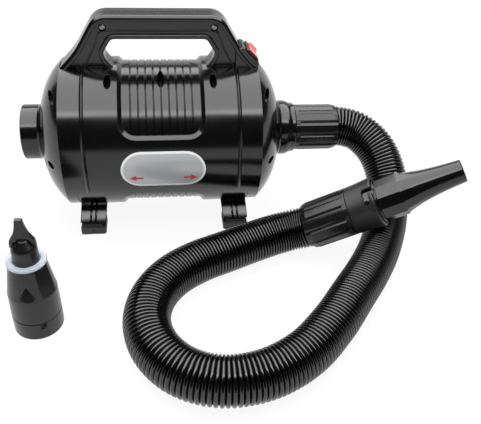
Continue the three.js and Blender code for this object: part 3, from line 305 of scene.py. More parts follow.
arrowInk = makeFinish("redArrowInkScreenPrinted", {  # plain arrows: flat screen ink, slightly uneven
    "dark": "#b0283c", "light": "#c2344a", "rub": "#cf5a6a", "roughness": 0.45, "haze": 0.04,
    "grain": 0.2, "bump": 0.08, "edge": 0.05,
})
rockerRed = makeFinish("redTranslucentPolycarbonateMoulded", {  # lit rocker: glassy red, paler where thin
    "dark": "#c01a2c", "light": "#d9283c", "rub": "#f0909a", "roughness": 0.14, "haze": 0.03, "ior": 1.58,
    "grain": 0.83, "bump": 0.03, "clear": 0.3, "coat": 0.6, "edge": 0.6,
})
siliconeClear = makeFinish("clearSiliconeRingPressed", {  # seal ring: milky, bluish, soft shine
    "dark": "#c3cfde", "light": "#e4ebf3", "rub": "#f6f9fc", "roughness": 0.22, "haze": 0.05, "ior": 1.41,
    "grain": 1.43, "bump": 0.08, "clear": 0.7, "edge": 0.3,
})
zincSteel = makeFinish("zincPlatedScrewSteelHeaded", {  # screws: bluish plate, dull where the driver bit
    "dark": "#8f9295", "light": "#a8abad", "rub": "#c8cacc", "roughness": 0.3, "haze": 0.06, "metal": 1.0,
    "grain": 0.25, "bump": 0.1, "edge": 0.15,
})
wellShadeScrewSteel = makeFinish("shadeDarkenedScrewSteelHeaded", {  # screws deep in the wells: near-black steel, painted shade for the deep wells
    "dark": "#1b1b1d", "light": "#29292b", "rub": "#4a4a4c", "roughness": 0.42, "haze": 0.06, "metal": 1.0,
    "grain": 0.25, "bump": 0.1, "edge": 0.15,
})
drawnSteel = makeFinish("groundShaftSteelTurned", {  # shaft and bearings: bright turning lines
    "dark": "#9a9b9d", "light": "#b7b8ba", "rub": "#d4d5d6", "roughness": 0.24, "haze": 0.05, "metal": 1.0,
    "grain": 3.33, "stretch": (14, 1, 1), "bump": 0.15, "edge": 0.2,
})
castAluminium = makeFinish("dullAluminiumDieCast", {  # impeller and covers: grey cast skin, sandy grain
    "dark": "#85878a", "light": "#9b9da0", "rub": "#c0c2c4", "roughness": 0.42, "haze": 0.08, "metal": 1.0,
    "grain": 1.11, "bump": 0.35, "edge": 0.4,
})
laminatedSteel = makeFinish("stackedCoreSteelStamped", {  # stator and armature: thin sheets seen edge-on
    "dark": "#55565a", "light": "#707175", "rub": "#96979a", "roughness": 0.38, "haze": 0.06, "metal": 1.0,
    "grain": 16.67, "stretch": (35, 0.5, 0.5), "bump": 0.5, "edge": 0.2,
})
turnedCopper = makeFinish("warmCopperSegmentsTurned", {  # commutator: copper bars, browned by the brushes
    "dark": "#8a4a2c", "light": "#b8714a", "rub": "#d99a72", "roughness": 0.28, "haze": 0.08, "metal": 1.0,
    "grain": 3.33, "stretch": (14, 1, 1), "bump": 0.2, "edge": 0.2,
})
brushCarbon = makeFinish("greyCarbonBrushPressed", {  # brushes: sooty grey, fine pressed grain
    "dark": "#242528", "light": "#35363a", "rub": "#505156", "roughness": 0.55, "haze": 0.08,
    "grain": 0.38, "bump": 0.4, "edge": 0.3,
})
filterFoam = makeFinish("charcoalFilterFoamCut", {  # filter: open cells, no shine at all
    "dark": "#0d0d0e", "light": "#202022", "rub": "#2c2c2e", "roughness": 0.86, "haze": 0.06,
    "grain": 2.38, "bump": 1.0, "edge": 0.5,
})


housingLook = {
    "steps": 144, "radius": 89.0, "seam": 87.0, "domeArc": (54.0, 23.25, 87.3), "spin": 144,
    "recess": {"radius": 84.6, "halfLength": 44.0, "corner": 15.0, "chamfer": 4.6, "top": 36.0, "bottom": 42.0},
    "grooves": {"count": 9, "pitch": 8.6, "width": 1.5, "depth": 1.6},
    "wells": [(0, 79.5, 9), (-59, 81.2, 9), (59, 81.2, 9), (-120.5, 67, 9), (120.5, 67, 9), (-120.5, -67, 9),
              (120.5, -67, 9), (-126, -2, 9), (126, -2, 9), (-61.3, 133.5, 7), (61.3, 133.5, 7)],
    "wellRadius": 4.15, "bossRadius": 7.0,
    "parting": 0.9, "partingDepth": 4.2,
}


def domeLine(look, inset, fromX, toX, steps):
    centreX, centreZ, radius = look["domeArc"]
    fromTurn, toTurn = (math.degrees(math.acos((x - centreX) / (radius - inset))) for x in (fromX, toX))
    return arc(centreX, centreZ, radius - inset, fromTurn, toTurn, steps)


def envelopeMesh(look):
    seam = [(84.6, 89), (85.2, 88.5), (85.7, 87.9), (86.2, 88.2), (86.5, 89.1), (86.9, 89.5), (87.5, 89.4),
            (88.3, 88.6), (89.4, 88), (112.2, 88), (112.8, 87.8)]
    dome = domeLine(look, 0, 113.3, 138.4, 18)
    intake = bend(dome[-1], (140.6, 34.6), (145, 32.9), 6)[1:] + [(163, 32.8), (163.9, 32.5), (164.3, 31.8)]
    outlet = bend(dome[-1], (140.4, 35.4), (144.2, 33.9), 6)[1:] + [
        (144.7, 33.3), (145.3, 33.7), (150, 33.9), (153.5, 33.4), (156.5, 32.2), (158.8, 31.1), (161, 30.7),
        (163.3, 30.5), (164, 29.9)]
    left = [(-x, r) for x, r in seam + dome + intake + [(164.3, 0)]][::-1]
    return onBlower(turnedMesh(left + seam + dome + outlet + [(164, 0)], look["steps"], ring=False))


def cavityMesh(look):
    def bulkhead(x, radius):
        return [(x - 2, 81.5), (x - 2, radius), (x + 2, radius), (x + 2, 81.5)]
    dome = domeLine(look, 3.2, 112.6, 137, 8)
    half = [(55, 81.5), (55, 84.6), (109.8, 84.6)] + dome
    left = [(-x, r) for x, r in half + [(139, 29.5), (176, 29.5), (176, 0)]][::-1]
    right = half + [(139, 25.5), (176, 25.5), (176, 0)]
    return onBlower(turnedMesh(left + bulkhead(-48, 69.7) + bulkhead(50, 54.7) + right, look["steps"], ring=False))


handleLook = {
    "top": 148.0, "cornerX": 56.7, "corner": 22.0, "slope": 31.0, "leg": 28.0,
    "underside": 121.0, "innerCornerX": 49.0, "innerCorner": 7.0,
    "webDepth": 10.0, "outerRim": (6.5, 15.0), "innerRim": (5.5, 13.0), "round": 4.6, "edge": 1.1,
    "bead": (1.8, 11.6), "beadHeight": 131.0, "root": 67.0,
}


def wholeLine(half):
    return [(-x, z) for x, z in half[::-1]][:-1] + half


def besideLine(points, distance):
    aside = []
    for i, (x, z) in enumerate(points):
        before, after = points[max(i - 1, 0)], points[min(i + 1, len(points) - 1)]
        along = Vector((after[0] - before[0], after[1] - before[1])).normalized()
        aside.append((x + along.y * distance, z - along.x * distance))
    return points + aside[::-1]


def rimMesh(points, section):
    # a section of [inward, depth] pairs drawn along an [x, z] line
    rings = [[] for _ in points]
    for inward, depth in section:
        aside = besideLine(points, inward)[len(points):][::-1]
        for ring, (x, z) in zip(rings, aside):
            ring.append((x, depth, z))
    return loftMesh(rings)


def handleMeshes(look):
    slope = math.radians(look["slope"])
    legTop = (look["cornerX"] + look["corner"] * math.cos(slope),
              look["top"] - look["corner"] * (1 - math.sin(slope)))
    legFoot = (legTop[0] + look["leg"] * math.sin(slope), legTop[1] - look["leg"] * math.cos(slope))
    outer = ([(0, look["top"])]
             + arc(look["cornerX"], look["top"] - look["corner"], look["corner"], 90, look["slope"], 14)
             + bend(legFoot, (legFoot[0] + 6.2, legFoot[1] - 10.3), (113, 86.5), 9) + [(113, look["root"])])
    inner = ([(0, look["underside"])]
             + arc(look["innerCornerX"], look["underside"] - look["innerCorner"], look["innerCorner"],
                   90, look["slope"], 6)
             + bend((61.8, 106.5), (63, 98), (53, 89), 8) + [(52, 85), (52, look["root"])])
    outer, inner = wholeLine(outer), wholeLine(inner)
    beadHalf = ([(0, look["beadHeight"])]
                + arc(60, look["beadHeight"] - 8, 8, 90, 28, 4)
                + [(73.5, 110), (87, 85.5)])
    bead = wholeLine(beadHalf)
    wide, deep = look["outerRim"]
    soft, crisp = look["round"], look["edge"]
    section = (arc(soft, deep - soft, soft, 180, 90, 7) + arc(wide - crisp, deep - crisp, crisp, 90, 0, 3))
    return [
        plateMesh(outer + inner[::-1], look["webDepth"]),
        rimMesh(outer, section + [(x, -y) for x, y in section[::-1]]),
        plateMesh(besideLine(inner, -look["innerRim"][0]), look["innerRim"][1], 1.8, 4),
        plateMesh(besideLine(bead, look["bead"][0]), look["bead"][1], 0.7, 2),
    ]


podLook = {"halfDepth": 14.0, "back": 86.0, "top": (97.0, 110.5), "face": 25.0, "slope": 46.3}


def podFrame(look):
    slope = math.radians(look["slope"])
    topX, topZ = look["top"]
    end = (topX + look["face"] * math.cos(slope), topZ - look["face"] * math.sin(slope))
    place = Vector(((topX + end[0]) / 2, 0, (topZ + end[1]) / 2)) * mm
    return end, Matrix.Translation(blowerPlace + place) @ Matrix.Rotation(slope, 4, "Y")


def podMesh(look):
    end, place = podFrame(look)
    topX, topZ = look["top"]
    return plateMesh([(look["back"], topZ - 2), (topX - 3, topZ + 1.3), (topX, topZ), end,
                      (end[0] - 1, end[1] - 8), (end[0] - 4, 67), (look["back"], 67)],
                     look["halfDepth"], 1.6, 3)


footLook = {
    "x": 85.0, "splay": 4.5, "width": 33.0, "toeWidth": 31.0, "frontY": 61.0, "depth": 30.0, "root": 62.0,
    "bottom": -101.0, "beadWidth": 3.4, "slotWidth": 2.6, "slotDepth": 9.0, "toeHeight": 5.0, "toeDepth": 8.0,
    "flare": [(-62, 17.0), (-76, 16.6), (-80, 15.8), (-83.5, 13.4), (-87, 9.8), (-91, 5.2), (-94.8, 1.0),
              (-96.4, 0.1), (-101, 0.0)],
}


def footRing(look, sideX, sideY, z, back, fromX, toX, front, rear):
    # a level rectangle across the foot; back is how far the face stands behind the toe there
    part = (look["root"] + z) / (look["root"] + look["bottom"])
    middle = sideX * (look["x"] + look["splay"] * part)
    near, far = sideY * (look["frontY"] - back + front), sideY * (look["frontY"] - rear)
    return [(middle + fromX, near, z), (middle + toX, near, z), (middle + toX, far, z), (middle + fromX, far, z)]


def footMesh(look, sideX, sideY):
    # the face is hollow-curved and flares out to the toe
    rings = []
    for z, back in look["flare"]:
        half = look["width"] / 2 - (look["width"] - look["toeWidth"]) / 2 * (-62 - z) / 39
        rings.append(footRing(look, sideX, sideY, z, back, -half, half, 0, look["depth"]))
    bm = loftMesh(rings)
    upright = [e for e in bm.edges if abs(e.verts[0].co.z - e.verts[1].co.z) > 0.0009 and e.calc_face_angle(0) > 1]
    bmesh.ops.bevel(bm, geom=upright, offset=1.6 * mm, offset_type="OFFSET", affect="EDGES",
                    segments=3, profile=0.5, material=-1, clamp_overlap=True)
    return onBlower(bm)


def panelMeshes(look, sideX, sideY):
    # two slots that leave a bead between two panels, and the step above the rubber pad
    tools = []
    for side in (-1, 1):
        low = side * look["beadWidth"] / 2
        high = low + side * look["slotWidth"]
        rings = [footRing(look, sideX, sideY, z, back, min(low, high), max(low, high), 9, look["slotDepth"] + back)
                 for z, back in look["flare"]]
        tools.append(onBlower(loftMesh(rings)))
    step = [footRing(look, sideX, sideY, z, 0, -25, 25, 9, look["toeDepth"])
            for z in (look["bottom"] - 1, look["bottom"] + look["toeHeight"])]
    tools.append(onBlower(loftMesh(step)))
    return tools


def saddleMesh(sideX, sideY):
    # the shallow step in the barrel above a foot, and its dark shadow line
    middle, half = sideX * 85, 15.5
    near, far = sideY * 30, sideY * 101
    block = boxMesh((middle - half, min(near, far), -70), (middle + half, max(near, far), -36), 1.5, 2)
    tool = looseObject("saddleTool", onBlower(block))
    core = looseObject("saddleCore", onBlower(turnedMesh([(-150, 0), (-150, 87.4), (150, 87.4), (150, 0)], 144, ring=False)))
    foot = looseObject("saddleFoot", footMesh(footLook, sideX, sideY))
    return shapeBy(tool, [core, foot])


def recessTool(look, edge, up):
    # a rounded window drawn flat, cut in strips and wrapped round the barrel axis, less a ribbed floor
    recess, grooves = look["recess"], look["grooves"]
    radius, reach = recess["radius"], recess["halfLength"]
    floor = []
    for i in range(grooves["count"]):
        x = (i - (grooves["count"] - 1) / 2) * grooves["pitch"]
        half = grooves["width"] / 2
        floor += [(x - half - 0.4, radius), (x - half, radius - 0.2), (x - 0.25, radius - grooves["depth"]),
                  (x + 0.25, radius - grooves["depth"]), (x + half, radius - 0.2), (x + half + 0.4, radius)]
    trench = looseObject("trenchTool", onBlower(turnedMesh(
        [(-reach - 9, radius + 9), (-reach - 9, radius)] + floor + [(reach + 9, radius), (reach + 9, radius + 9)],
        look["steps"])))
    long = radius * math.acos(edge / radius)  # from the top to the window's end, round the floor
    rings = []
    for height, grow in ((radius - 8, 0), (radius + 0.1, 0), (radius + 0.6, 0.3), (radius + 4.6, recess["chamfer"]),
                         (radius + 5.2, recess["chamfer"] + 0.9), (radius + 8, recess["chamfer"] + 3)):
        halfX, halfLong, corner = reach + grow, long + grow, recess["corner"] + grow
        outline = []
        for cx, cy, fromTurn in ((1, 1, 0), (-1, 1, 90), (-1, -1, 180), (1, -1, 270)):
            outline += arc(cx * (halfX - corner), cy * (halfLong - corner), corner, fromTurn, fromTurn + 90, 9)
        rings.append([(x, y, height) for x, y in outline])
    window = loftMesh(rings)
    strips = 43
    for i in range(1, strips):
        place = (0, (2 * i / strips - 1) * (long + 8) * mm, 0)
        bmesh.ops.bisect_plane(window, geom=window.verts[:] + window.edges[:] + window.faces[:],
                               plane_co=place, plane_no=(0, 1, 0), dist=1e-7)
    for vert in window.verts:
        turn = vert.co.y / (radius * mm)
        vert.co = (vert.co.x, vert.co.z * math.sin(turn), up * vert.co.z * math.cos(turn))
    bmesh.ops.triangulate(window, faces=window.faces)
    bmesh.ops.recalc_face_normals(window, faces=window.faces)
    return shapeBy(trench, [looseObject("windowTool", onBlower(window))], "INTERSECT")


def rodMesh(x, z, fromY, toY, radius, sides=32):
    # a rod along Y through a point of the blower
    bm = turnedMesh([(fromY, 0), (fromY, radius), (toY, radius), (toY, 0)], sides, ring=False)
    turn = Matrix.Rotation(math.radians(90), 4, "Z")
    return onBlower(moveMesh(bm, Matrix.Translation((x * mm, 0, z * mm)) @ turn))


def makeHousing(look):
    envelope = looseObject("envelopeTool", envelopeMesh(look))
    bosses = looseObject("bossTools", rodMesh(*look["wells"][0][:2], -89, 89, look["bossRadius"]))
    shapeBy(bosses, [looseObject("bossTool", rodMesh(x, z, -89, 89, look["bossRadius"]))
                     for x, z, floor in look["wells"][1:9]], "UNION")
    half = [(0, 87.3), (111, 87.3)] + domeLine(look, 1.6, 112.6, 137, 8) + [(137.4, 0)]
    clip = looseObject("clipTool", onBlower(turnedMesh([(-x, r) for x, r in half[::-1][:-1]] + half, 72, ring=False)))
    shapeBy(bosses, [clip], "INTERSECT")
    added = handleMeshes(handleLook)
    tools = [looseObject("handleTool", onBlower(bm)) for bm in added]
    tools.append(looseObject("podTool", onBlower(podMesh(podLook))))
    sides = [(-1, -1), (1, -1), (-1, 1), (1, 1)]
    tools += [looseObject("footTool", footMesh(footLook, *side)) for side in sides]
    shapeBy(envelope, tools, "UNION")
    print("housing: outside is joined")
    shapeBy(envelope, [looseObject("cavityTool", cavityMesh(look))])
    shapeBy(envelope, [bosses], "UNION")
    cuts = []
    for x, z, floor in look["wells"]:
        cuts.append(looseObject("wellTool", rodMesh(x, z, -101, -floor, look["wellRadius"])))
        cuts.append(looseObject("holeTool", rodMesh(x, z, -floor - 1, 14.5, 2.4, 16)))
    cuts.append(recessTool(look, look["recess"]["top"], 1))
    cuts.append(recessTool(look, look["recess"]["bottom"], -1))
    cuts += [saddleMesh(*side) for side in sides]
    for side in sides:
        cuts += [looseObject("panelTool", bm) for bm in panelMeshes(footLook, *side)]
    podEnd, podPlace = podFrame(podLook)
    cuts.append(looseObject("pocketTool", moveMesh(boxMesh((-8.5, -12.3, -16), (8.5, 12.3, 12)), podPlace)))
    glandTurn = Matrix.Rotation(math.radians(-28), 4, "X") @ Matrix.Rotation(math.radians(90), 4, "Z")
    gland = turnedMesh([(45, 0), (45, 7.3), (101, 7.3), (101, 0)], 32, ring=False)
    cuts.append(looseObject("glandTool", onBlower(moveMesh(gland, Matrix.Translation((62 * mm, 0, 0)) @ glandTurn))))
    cuts.append(looseObject("slitTool", onBlower(boxMesh((-135.2, -80, -11), (-133.6, -56, -3)))))
    shapeBy(envelope, cuts)
    print("housing: recesses and wells are cut")
    return envelope


def splitHousing(whole, look):
    # the two shells meet at a thin V line round the barrel and the handle
    for side, name in ((-1, "frontShell"), (1, "rearShell")):
        bm = bmesh.new()
        bm.from_mesh(whole.data)
        half = looseObject(name, bm)
        near, far = 70.1 + side * look["parting"] / 2, 70.1 + side * 130
        block = boxMesh((-200, min(near, far), -20), (200, max(near, far), 300))
        shapeBy(half, [looseObject("halfTool", block)], "INTERSECT")
        half.name = name
        bm = bmesh.new()
        bm.from_mesh(half.data)
        bmesh.ops.remove_doubles(bm, verts=bm.verts, dist=0.02 * mm)  # slivers left by the cuts
        bmesh.ops.dissolve_degenerate(bm, edges=bm.edges, dist=0.02 * mm)
        bmesh.ops.dissolve_limit(bm, angle_limit=math.radians(0.4), verts=bm.verts, edges=bm.edges)
        bm.to_mesh(half.data)
        bm.free()
        settlePiece(half, glossAbs, "housing", ["front_shell" if side < 0 else "rear_shell"], sharp=22)
    bpy.data.objects.remove(whole)
    print("housing is made")


splitHousing(makeHousing(housingLook), housingLook)


labelLook = {"length": 96.0, "height": 46.0, "drop": 1.5, "rim": 2.6, "thickness": 0.6, "radius": 89.3}


def onBarrel(bm, look):
    # bends a flat sheet in the XZ plane round the barrel: y is the height above the barrel's skin
    for vert in bm.verts:
        height = vert.co.y / mm + look["radius"]
        vert.co.y = -math.sqrt(height ** 2 - (vert.co.z / mm) ** 2) * mm
    bmesh.ops.recalc_face_normals(bm, faces=bm.faces)
    return onBlower(bm)


def slicedAcross(bm, low, high, step):
    place = low
    while place < high:
        bmesh.ops.bisect_plane(bm, geom=bm.verts[:] + bm.edges[:] + bm.faces[:], dist=1e-7,
                               plane_co=(0, 0, place * mm), plane_no=(0, 0, 1))
        place += step
    return bm


def stadium(half, drop, round_, steps=16):
    return (arc(half, -drop, round_, -90, 90, steps) + arc(-half, -drop, round_, 90, 270, steps))


def makeLabel(look):
    round_ = look["height"] / 2
    half = look["length"] / 2 - round_
    def sheet(name, grow, low, high, bevel, material, replaces):
        bm = plateMesh(stadium(half, look["drop"], round_ + grow), (high - low) / 2, bevel, 2)
        bmesh.ops.translate(bm, verts=bm.verts, vec=(0, (low + high) / 2 * mm, 0))
        bmesh.ops.triangulate(bm, faces=[f for f in bm.faces if len(f.verts) > 4])
        slicedAcross(bm, -26, 24, 2.5)
        return finishPiece(name, onBarrel(bm, look), material, "housing", replaces)
    sheet("labelPlate", 0.0, 0.0, 0.5, 0.15, labelWhite, ["label_plate"])
    sheet("labelFace", -look["rim"], 0.5, 0.56, 0.0, labelSilver, ())
    for side in (-1, 1):
        outline = [(23, -13.4), (23, -10.8), (31, -10.8), (31, -8.2), (38.8, -12.1), (31, -16), (31, -13.4)]
        arrow = [(side * x, z) for x, z in outline]
        bm = plateMesh(arrow, 0.02)
        bmesh.ops.translate(bm, verts=bm.verts, vec=(0, 0.58 * mm, 0))
        slicedAcross(bm, -15, -9, 2.0)
        finishPiece("labelArrowLeft" if side < 0 else "labelArrowRight", onBarrel(bm, look), arrowInk, "housing")
    print("label is made")


switchLook = {
    "bezel": (9.75, 13.5, 1.8), "case": (8.2, 12.0, 15.0), "mouth": (6.8, 11.2, 11.0),
    "rocker": (6.3, 10.0), "pivot": 3.0, "rise": 4.2, "dip": 0.9, "tilt": 8.0,
}


def makeSwitch(look):
    end, place = podFrame(podLook)
    long_, wide, high = look["bezel"]
    bezel = boxMesh((-long_, -wide, 0.3), (long_, wide, 0.3 + high))
    rim = [e for e in bezel.edges if min(v.co.z for v in e.verts) > 1.9 * mm or
           abs(e.verts[0].co.z - e.verts[1].co.z) > 1 * mm]
    bmesh.ops.bevel(bezel, geom=rim, offset=1.1 * mm, offset_type="OFFSET", affect="EDGES",
                    segments=4, profile=0.5, material=-1, clamp_overlap=True)
    caseX, caseY, caseDeep = look["case"]
    mouthX, mouthY, mouthDeep = look["mouth"]
    body = looseObject("switchBezel", moveMesh(bezel, place))
    shapeBy(body, [looseObject("caseTool", moveMesh(boxMesh((-caseX, -caseY, -caseDeep), (caseX, caseY, 1)), place))],
            "UNION")
    shapeBy(body, [looseObject("mouthTool", moveMesh(
        boxMesh((-mouthX, -mouthY, -mouthDeep), (mouthX, mouthY, 12), 0.9, 3), place))])
    settlePiece(body, satinPp, "housing", ["switch_body"])
    halfX, halfY = look["rocker"]
    pivot, rise, dip = look["pivot"], look["rise"], look["dip"]
    outline = ([(-halfY, pivot), (-halfY + 0.1, pivot + rise - 0.7), (-halfY + 0.7, pivot + rise)]
               + bend((-halfY + 2, pivot + rise - 0.05), (0, pivot + rise - 2 * dip), (halfY - 2, pivot + rise - 0.05), 8)
               + [(halfY - 0.7, pivot + rise), (halfY - 0.1, pivot + rise - 0.7), (halfY, pivot),
                  (halfY * 0.6, -pivot), (-halfY * 0.6, -pivot)])
    rocker = plateMesh(outline, halfX, 0.5, 3)
    turn = Matrix.Rotation(math.radians(90), 4, "Z")
    lean = Matrix.Rotation(math.radians(look["tilt"]), 4, "X")
    moveMesh(rocker, place @ lean @ Matrix.Translation((0, 0, -pivot * mm)) @ turn)
    finishPiece("rockerCap", rocker, rockerRed, "rocker", ["switch_rocker"])
    print("switch is made")


cuffLook = {
    "radius": 28.3, "lip": 27.0, "band": 5.2, "chamfer": 6.5, "flats": 12, "groove": 1.5, "grooveTurn": 5.6,
    "throat": 21.0, "socket": 25.9, "tail": 24.8,
}


def flutedRing(x, radius, depth, look, phase, bowed=0.25):
    # one section: flats with wide V grooves between them, turned by a phase in degrees
    ring = []
    pitch = 360 / look["flats"]
    half = look["grooveTurn"]
    for i in range(look["flats"]):
        middle = phase + (i + 0.5) * pitch
        for shift, part in ((-half - 0.9, 0.0), (-half, 0.12), (-half * 0.45, 0.85), (0, 1.0),
                            (half * 0.45, 0.85), (half, 0.12), (half + 0.9, 0.0), (pitch / 2 - 3.5, 0.0)):
            turn = math.radians(middle + shift)
            flat = radius - bowed * (1 if shift == 0 or abs(shift) <= half else 0)
            r = flat - depth * part
            ring.append((x, -r * math.sin(turn), r * math.cos(turn)))
    return ring


def cuffMesh(length, look, phase):
    # plain band, fluted grip, and a chamfer down to the hose
    band, chamfer, radius, lip = look["band"], look["chamfer"], look["radius"], look["lip"]
    deep = look["groove"]
    return loftMesh([
        flutedRing(0, radius - 0.5, 0, look, phase), flutedRing(0.5, radius, 0, look, phase),
        flutedRing(band, radius, 0, look, phase), flutedRing(band + 0.3, radius, deep, look, phase),
        flutedRing(length - chamfer, radius, deep, look, phase),
        flutedRing(length - chamfer + 1, radius - 0.3, deep, look, phase),
        flutedRing(length - 0.6, lip, 0.6, look, phase), flutedRing(length, lip - 0.5, 0.3, look, phase),
    ])


def handFrame():
    along = Vector((0.829, -0.183, 0.528)).normalized()
    up = (Vector((0, 0, 1)) - along * along.z).normalized()
    across = up.cross(along)
    return Matrix.Translation(Vector((172.5, -39.3, 40)) * mm) @ Matrix((along, across, up)).transposed().to_4x4()


def makeCuffs(look):
    start = 164.3
    hoseStart = 172.3
    cuff = looseObject("fluteMachine", onBlower(moveMesh(cuffMesh(54, look, 6.0), Matrix.Translation((start * mm, 0, 0)))))
    tail = looseObject("tailTool", onBlower(turnedMesh(
        [(start - 20, 0), (start - 20, look["tail"] - 0.6), (start - 19.4, look["tail"]), (start + 1, look["tail"]),
         (start + 1, 0)], 64, ring=False)))
    shapeBy(cuff, [tail], "UNION")
    bores = looseObject("boreTool", onBlower(turnedMesh(
        [(start - 21, 0), (start - 21, look["throat"]), (hoseStart - 0.3, look["throat"]),
         (hoseStart - 0.3, look["socket"]), (start + 55, look["socket"]), (start + 55, 0)], 64, ring=False)))
    shapeBy(cuff, [bores])
    cuff.name = "machineCuff"
    settlePiece(cuff, satinPp, "outlet_cuff", ["machine_cuff"])
    length, seat = 56.5, 46.0
    flip = Matrix.Translation((length * mm, 0, 0)) @ Matrix.Rotation(math.pi, 4, "Y")
    hand = looseObject("fluteHand", moveMesh(cuffMesh(length, look, 155.4), handFrame() @ flip))
    bores = looseObject("boreTool", moveMesh(turnedMesh(
        [(-1, 0), (-1, look["socket"]), (seat, look["socket"]), (seat, look["throat"]), (seat + 2.7, look["throat"]),
         (seat + 2.7, 24.3), (length + 1, 24.3), (length + 1, 0)], 64, ring=False), handFrame()))
    shapeBy(hand, [bores])
    hand.name = "handCuff"
    settlePiece(hand, satinPp, "housing", ["hand_cuff"])
    print("cuffs are made")


collarLook = {
    "start": 56.8, "length": 32.2, "neckStart": 49.0, "bore": 26.0, "lip": 30.3, "from": 28.3, "throat": 21.0,
    "facing": 23.0, "slotWidth": 7.0, "slotDepth": 12.0, "slotTurn": 26.0, "screw": (84.5, 69.0),
}


def makeCollar(look):
    start, lip = look["start"], look["start"] + look["length"]
    profile = ([(look["neckStart"], look["throat"]), (look["neckStart"], 24.0), (start, 24.0), (start, 27.6),
                (start + 0.6, look["from"])]
               + bend((start + 3, look["from"]), (start + look["length"] * 0.6, look["from"] + 0.4),
                      (lip - 2.4, look["lip"] - 0.1), 8)
               + [(lip - 1.2, look["lip"]), (lip - 0.4, look["lip"] - 0.3), (lip, look["lip"] - 1.0),
                  (lip, look["bore"] + 0.4), (lip - 0.5, look["bore"]), (start + 2.8, look["bore"]),
                  (start + 2.8, look["throat"])])
    collar = looseObject("bayonetRing", moveMesh(turnedMesh(profile, 96), handFrame()))
    half = look["slotWidth"] / 2
    tools = []
    end = lip - look["slotDepth"]
    for opposite in (0, 180):
        turn = Matrix.Rotation(math.radians(look["facing"] + opposite), 4, "X")
        tools.append(looseObject("entryTool", moveMesh(boxMesh((end + half, -half, 20), (lip + 8, half, 40)), handFrame() @ turn)))
        for i in range(9):
            part = look["slotTurn"] * i / 8
            rod = turnedMesh([(20, 0), (20, half), (40, half), (40, 0)], 24, ring=False)
            stand = Matrix.Rotation(math.radians(-90), 4, "Y")
            turnPart = Matrix.Rotation(math.radians(look["facing"] + opposite + part), 4, "X")
            place = Matrix.Translation(((end + half) * mm, 0, 0))
            tools.append(looseObject("legTool", moveMesh(rod, handFrame() @ place @ turnPart @ stand)))
    for profile in ([(28.9, 1.7), (34, 1.7), (34, 2.5), (28.9, 2.5)], [(29.3, 0), (29.3, 0.6), (34, 0.6), (34, 0)]):
        bm = turnedMesh(profile, 32, ring=profile[0][1] > 0)
        place = Matrix.Translation((look["screw"][0] * mm, 0, 0)) @ Matrix.Rotation(math.radians(look["screw"][1]), 4, "X")
        tools.append(looseObject("screwTool", moveMesh(
            bm, handFrame() @ place @ Matrix.Rotation(math.radians(-90), 4, "Y"))))
    shapeBy(collar, tools)
    collar.name = "bayonetCollar"
    settlePiece(collar, etchedPp, "housing", ["bayonet_collar"])
    print("collar is made")


nozzleLook = {
    "flats": 12, "phase": -5.0, "flatDepth": 0.95, "grip": 25.7, "gripEnd": 118.0, "lip": 89.0, "tail": 25.3,
    "tip": 187.6, "tipRadius": 13.0, "waist": 15.6, "wall": 2.4,
}


def flatRing(x, radius, depth, look):
    # one section: plain flats side by side, turned by the nozzle's phase
    ring = []
    pitch = 360 / look["flats"]
    for i in range(look["flats"]):
        for part in (-0.5, -0.44, -0.3, -0.1, 0.1, 0.3, 0.44):
            turn = math.radians(look["phase"] + (i + part) * pitch)
            reach = min(radius, (radius - depth) / math.cos(math.radians(part * pitch)))
            ring.append((x, reach * math.sin(turn), reach * math.cos(turn)))
    return ring


def makeNozzle(look):
    lip, gripEnd, tip = look["lip"], look["gripEnd"], look["tip"]
    deep = look["flatDepth"]
    rings = [flatRing(x, r, d, look) for x, r, d in (
        (lip - 22, look["tail"] - 0.5, 0), (lip - 21.4, look["tail"], 0), (lip + 1, look["tail"], 0),
        (lip + 1.6, look["tail"] - 1, 0), (lip + 2.8, look["grip"] - 0.7, deep), (lip + 3.4, look["grip"], deep),
        (gripEnd - 0.8, look["grip"], deep), (gripEnd, look["grip"] - 0.5, deep))]
    taper = bend((gripEnd + 1.6, look["grip"] - 2.0), ((gripEnd + tip) / 2 - 12, look["waist"]),
                 (tip - 0.8, look["tipRadius"]), 14)
    for i, (x, r) in enumerate(taper):
        rings.append(flatRing(x, r, deep * max(0.0, 1.1 - i / 4), look))
    rings.append(flatRing(tip, look["tipRadius"] - 0.7, 0, look))
    nozzle = looseObject("nozzleBody", moveMesh(loftMesh(rings), handFrame()))
    inner = [(lip - 23, 0), (lip - 23, 21.9), (gripEnd, 21.9)] + [
        (x, r - look["wall"]) for x, r in taper[1:]] + [(tip + 1, look["tipRadius"] - look["wall"]), (tip + 1, 0)]
    shapeBy(nozzle, [looseObject("airTool", moveMesh(turnedMesh(inner, 48, ring=False), handFrame()))])
    pins = []
    for opposite in (0, 180):
        pin = turnedMesh([(23, 0), (23, 2.6), (27.6, 2.6), (28.2, 2.0), (28.2, 0)], 24, ring=False)
        stand = Matrix.Rotation(math.radians(-90), 4, "Y")
        turn = Matrix.Rotation(math.radians(collarLook["facing"] + opposite + 26), 4, "X")
        place = Matrix.Translation(((lip - 8.5) * mm, 0, 0))
        pins.append(looseObject("pinTool", moveMesh(pin, handFrame() @ place @ turn @ stand)))
    shapeBy(nozzle, pins, "UNION")
    nozzle.name = "roundNozzle"
    settlePiece(nozzle, glossAbs, "nozzle", ["round_nozzle"])
    print("nozzle is made")


spareLook = {
    "place": (-137.0, -134.2), "radius": 25.4, "wall": 3.2, "groove": 21.5, "shoulder": (52.0, 24.6),
    "cone": (87.0, 18.6), "neck": 13.1, "neckTop": 106.0, "mouth": 4.0, "top": 115.0,
    "flats": 2, "flatFacing": 146.0, "flatDepth": 1.7, "notchFacing": 89.0, "notch": (20.0, 18.0, 9.2),
    "pinFacing": 112.0, "pinHeight": 14.6, "pin": 2.3, "slot": (7.4, 5.6, 2.9),
}


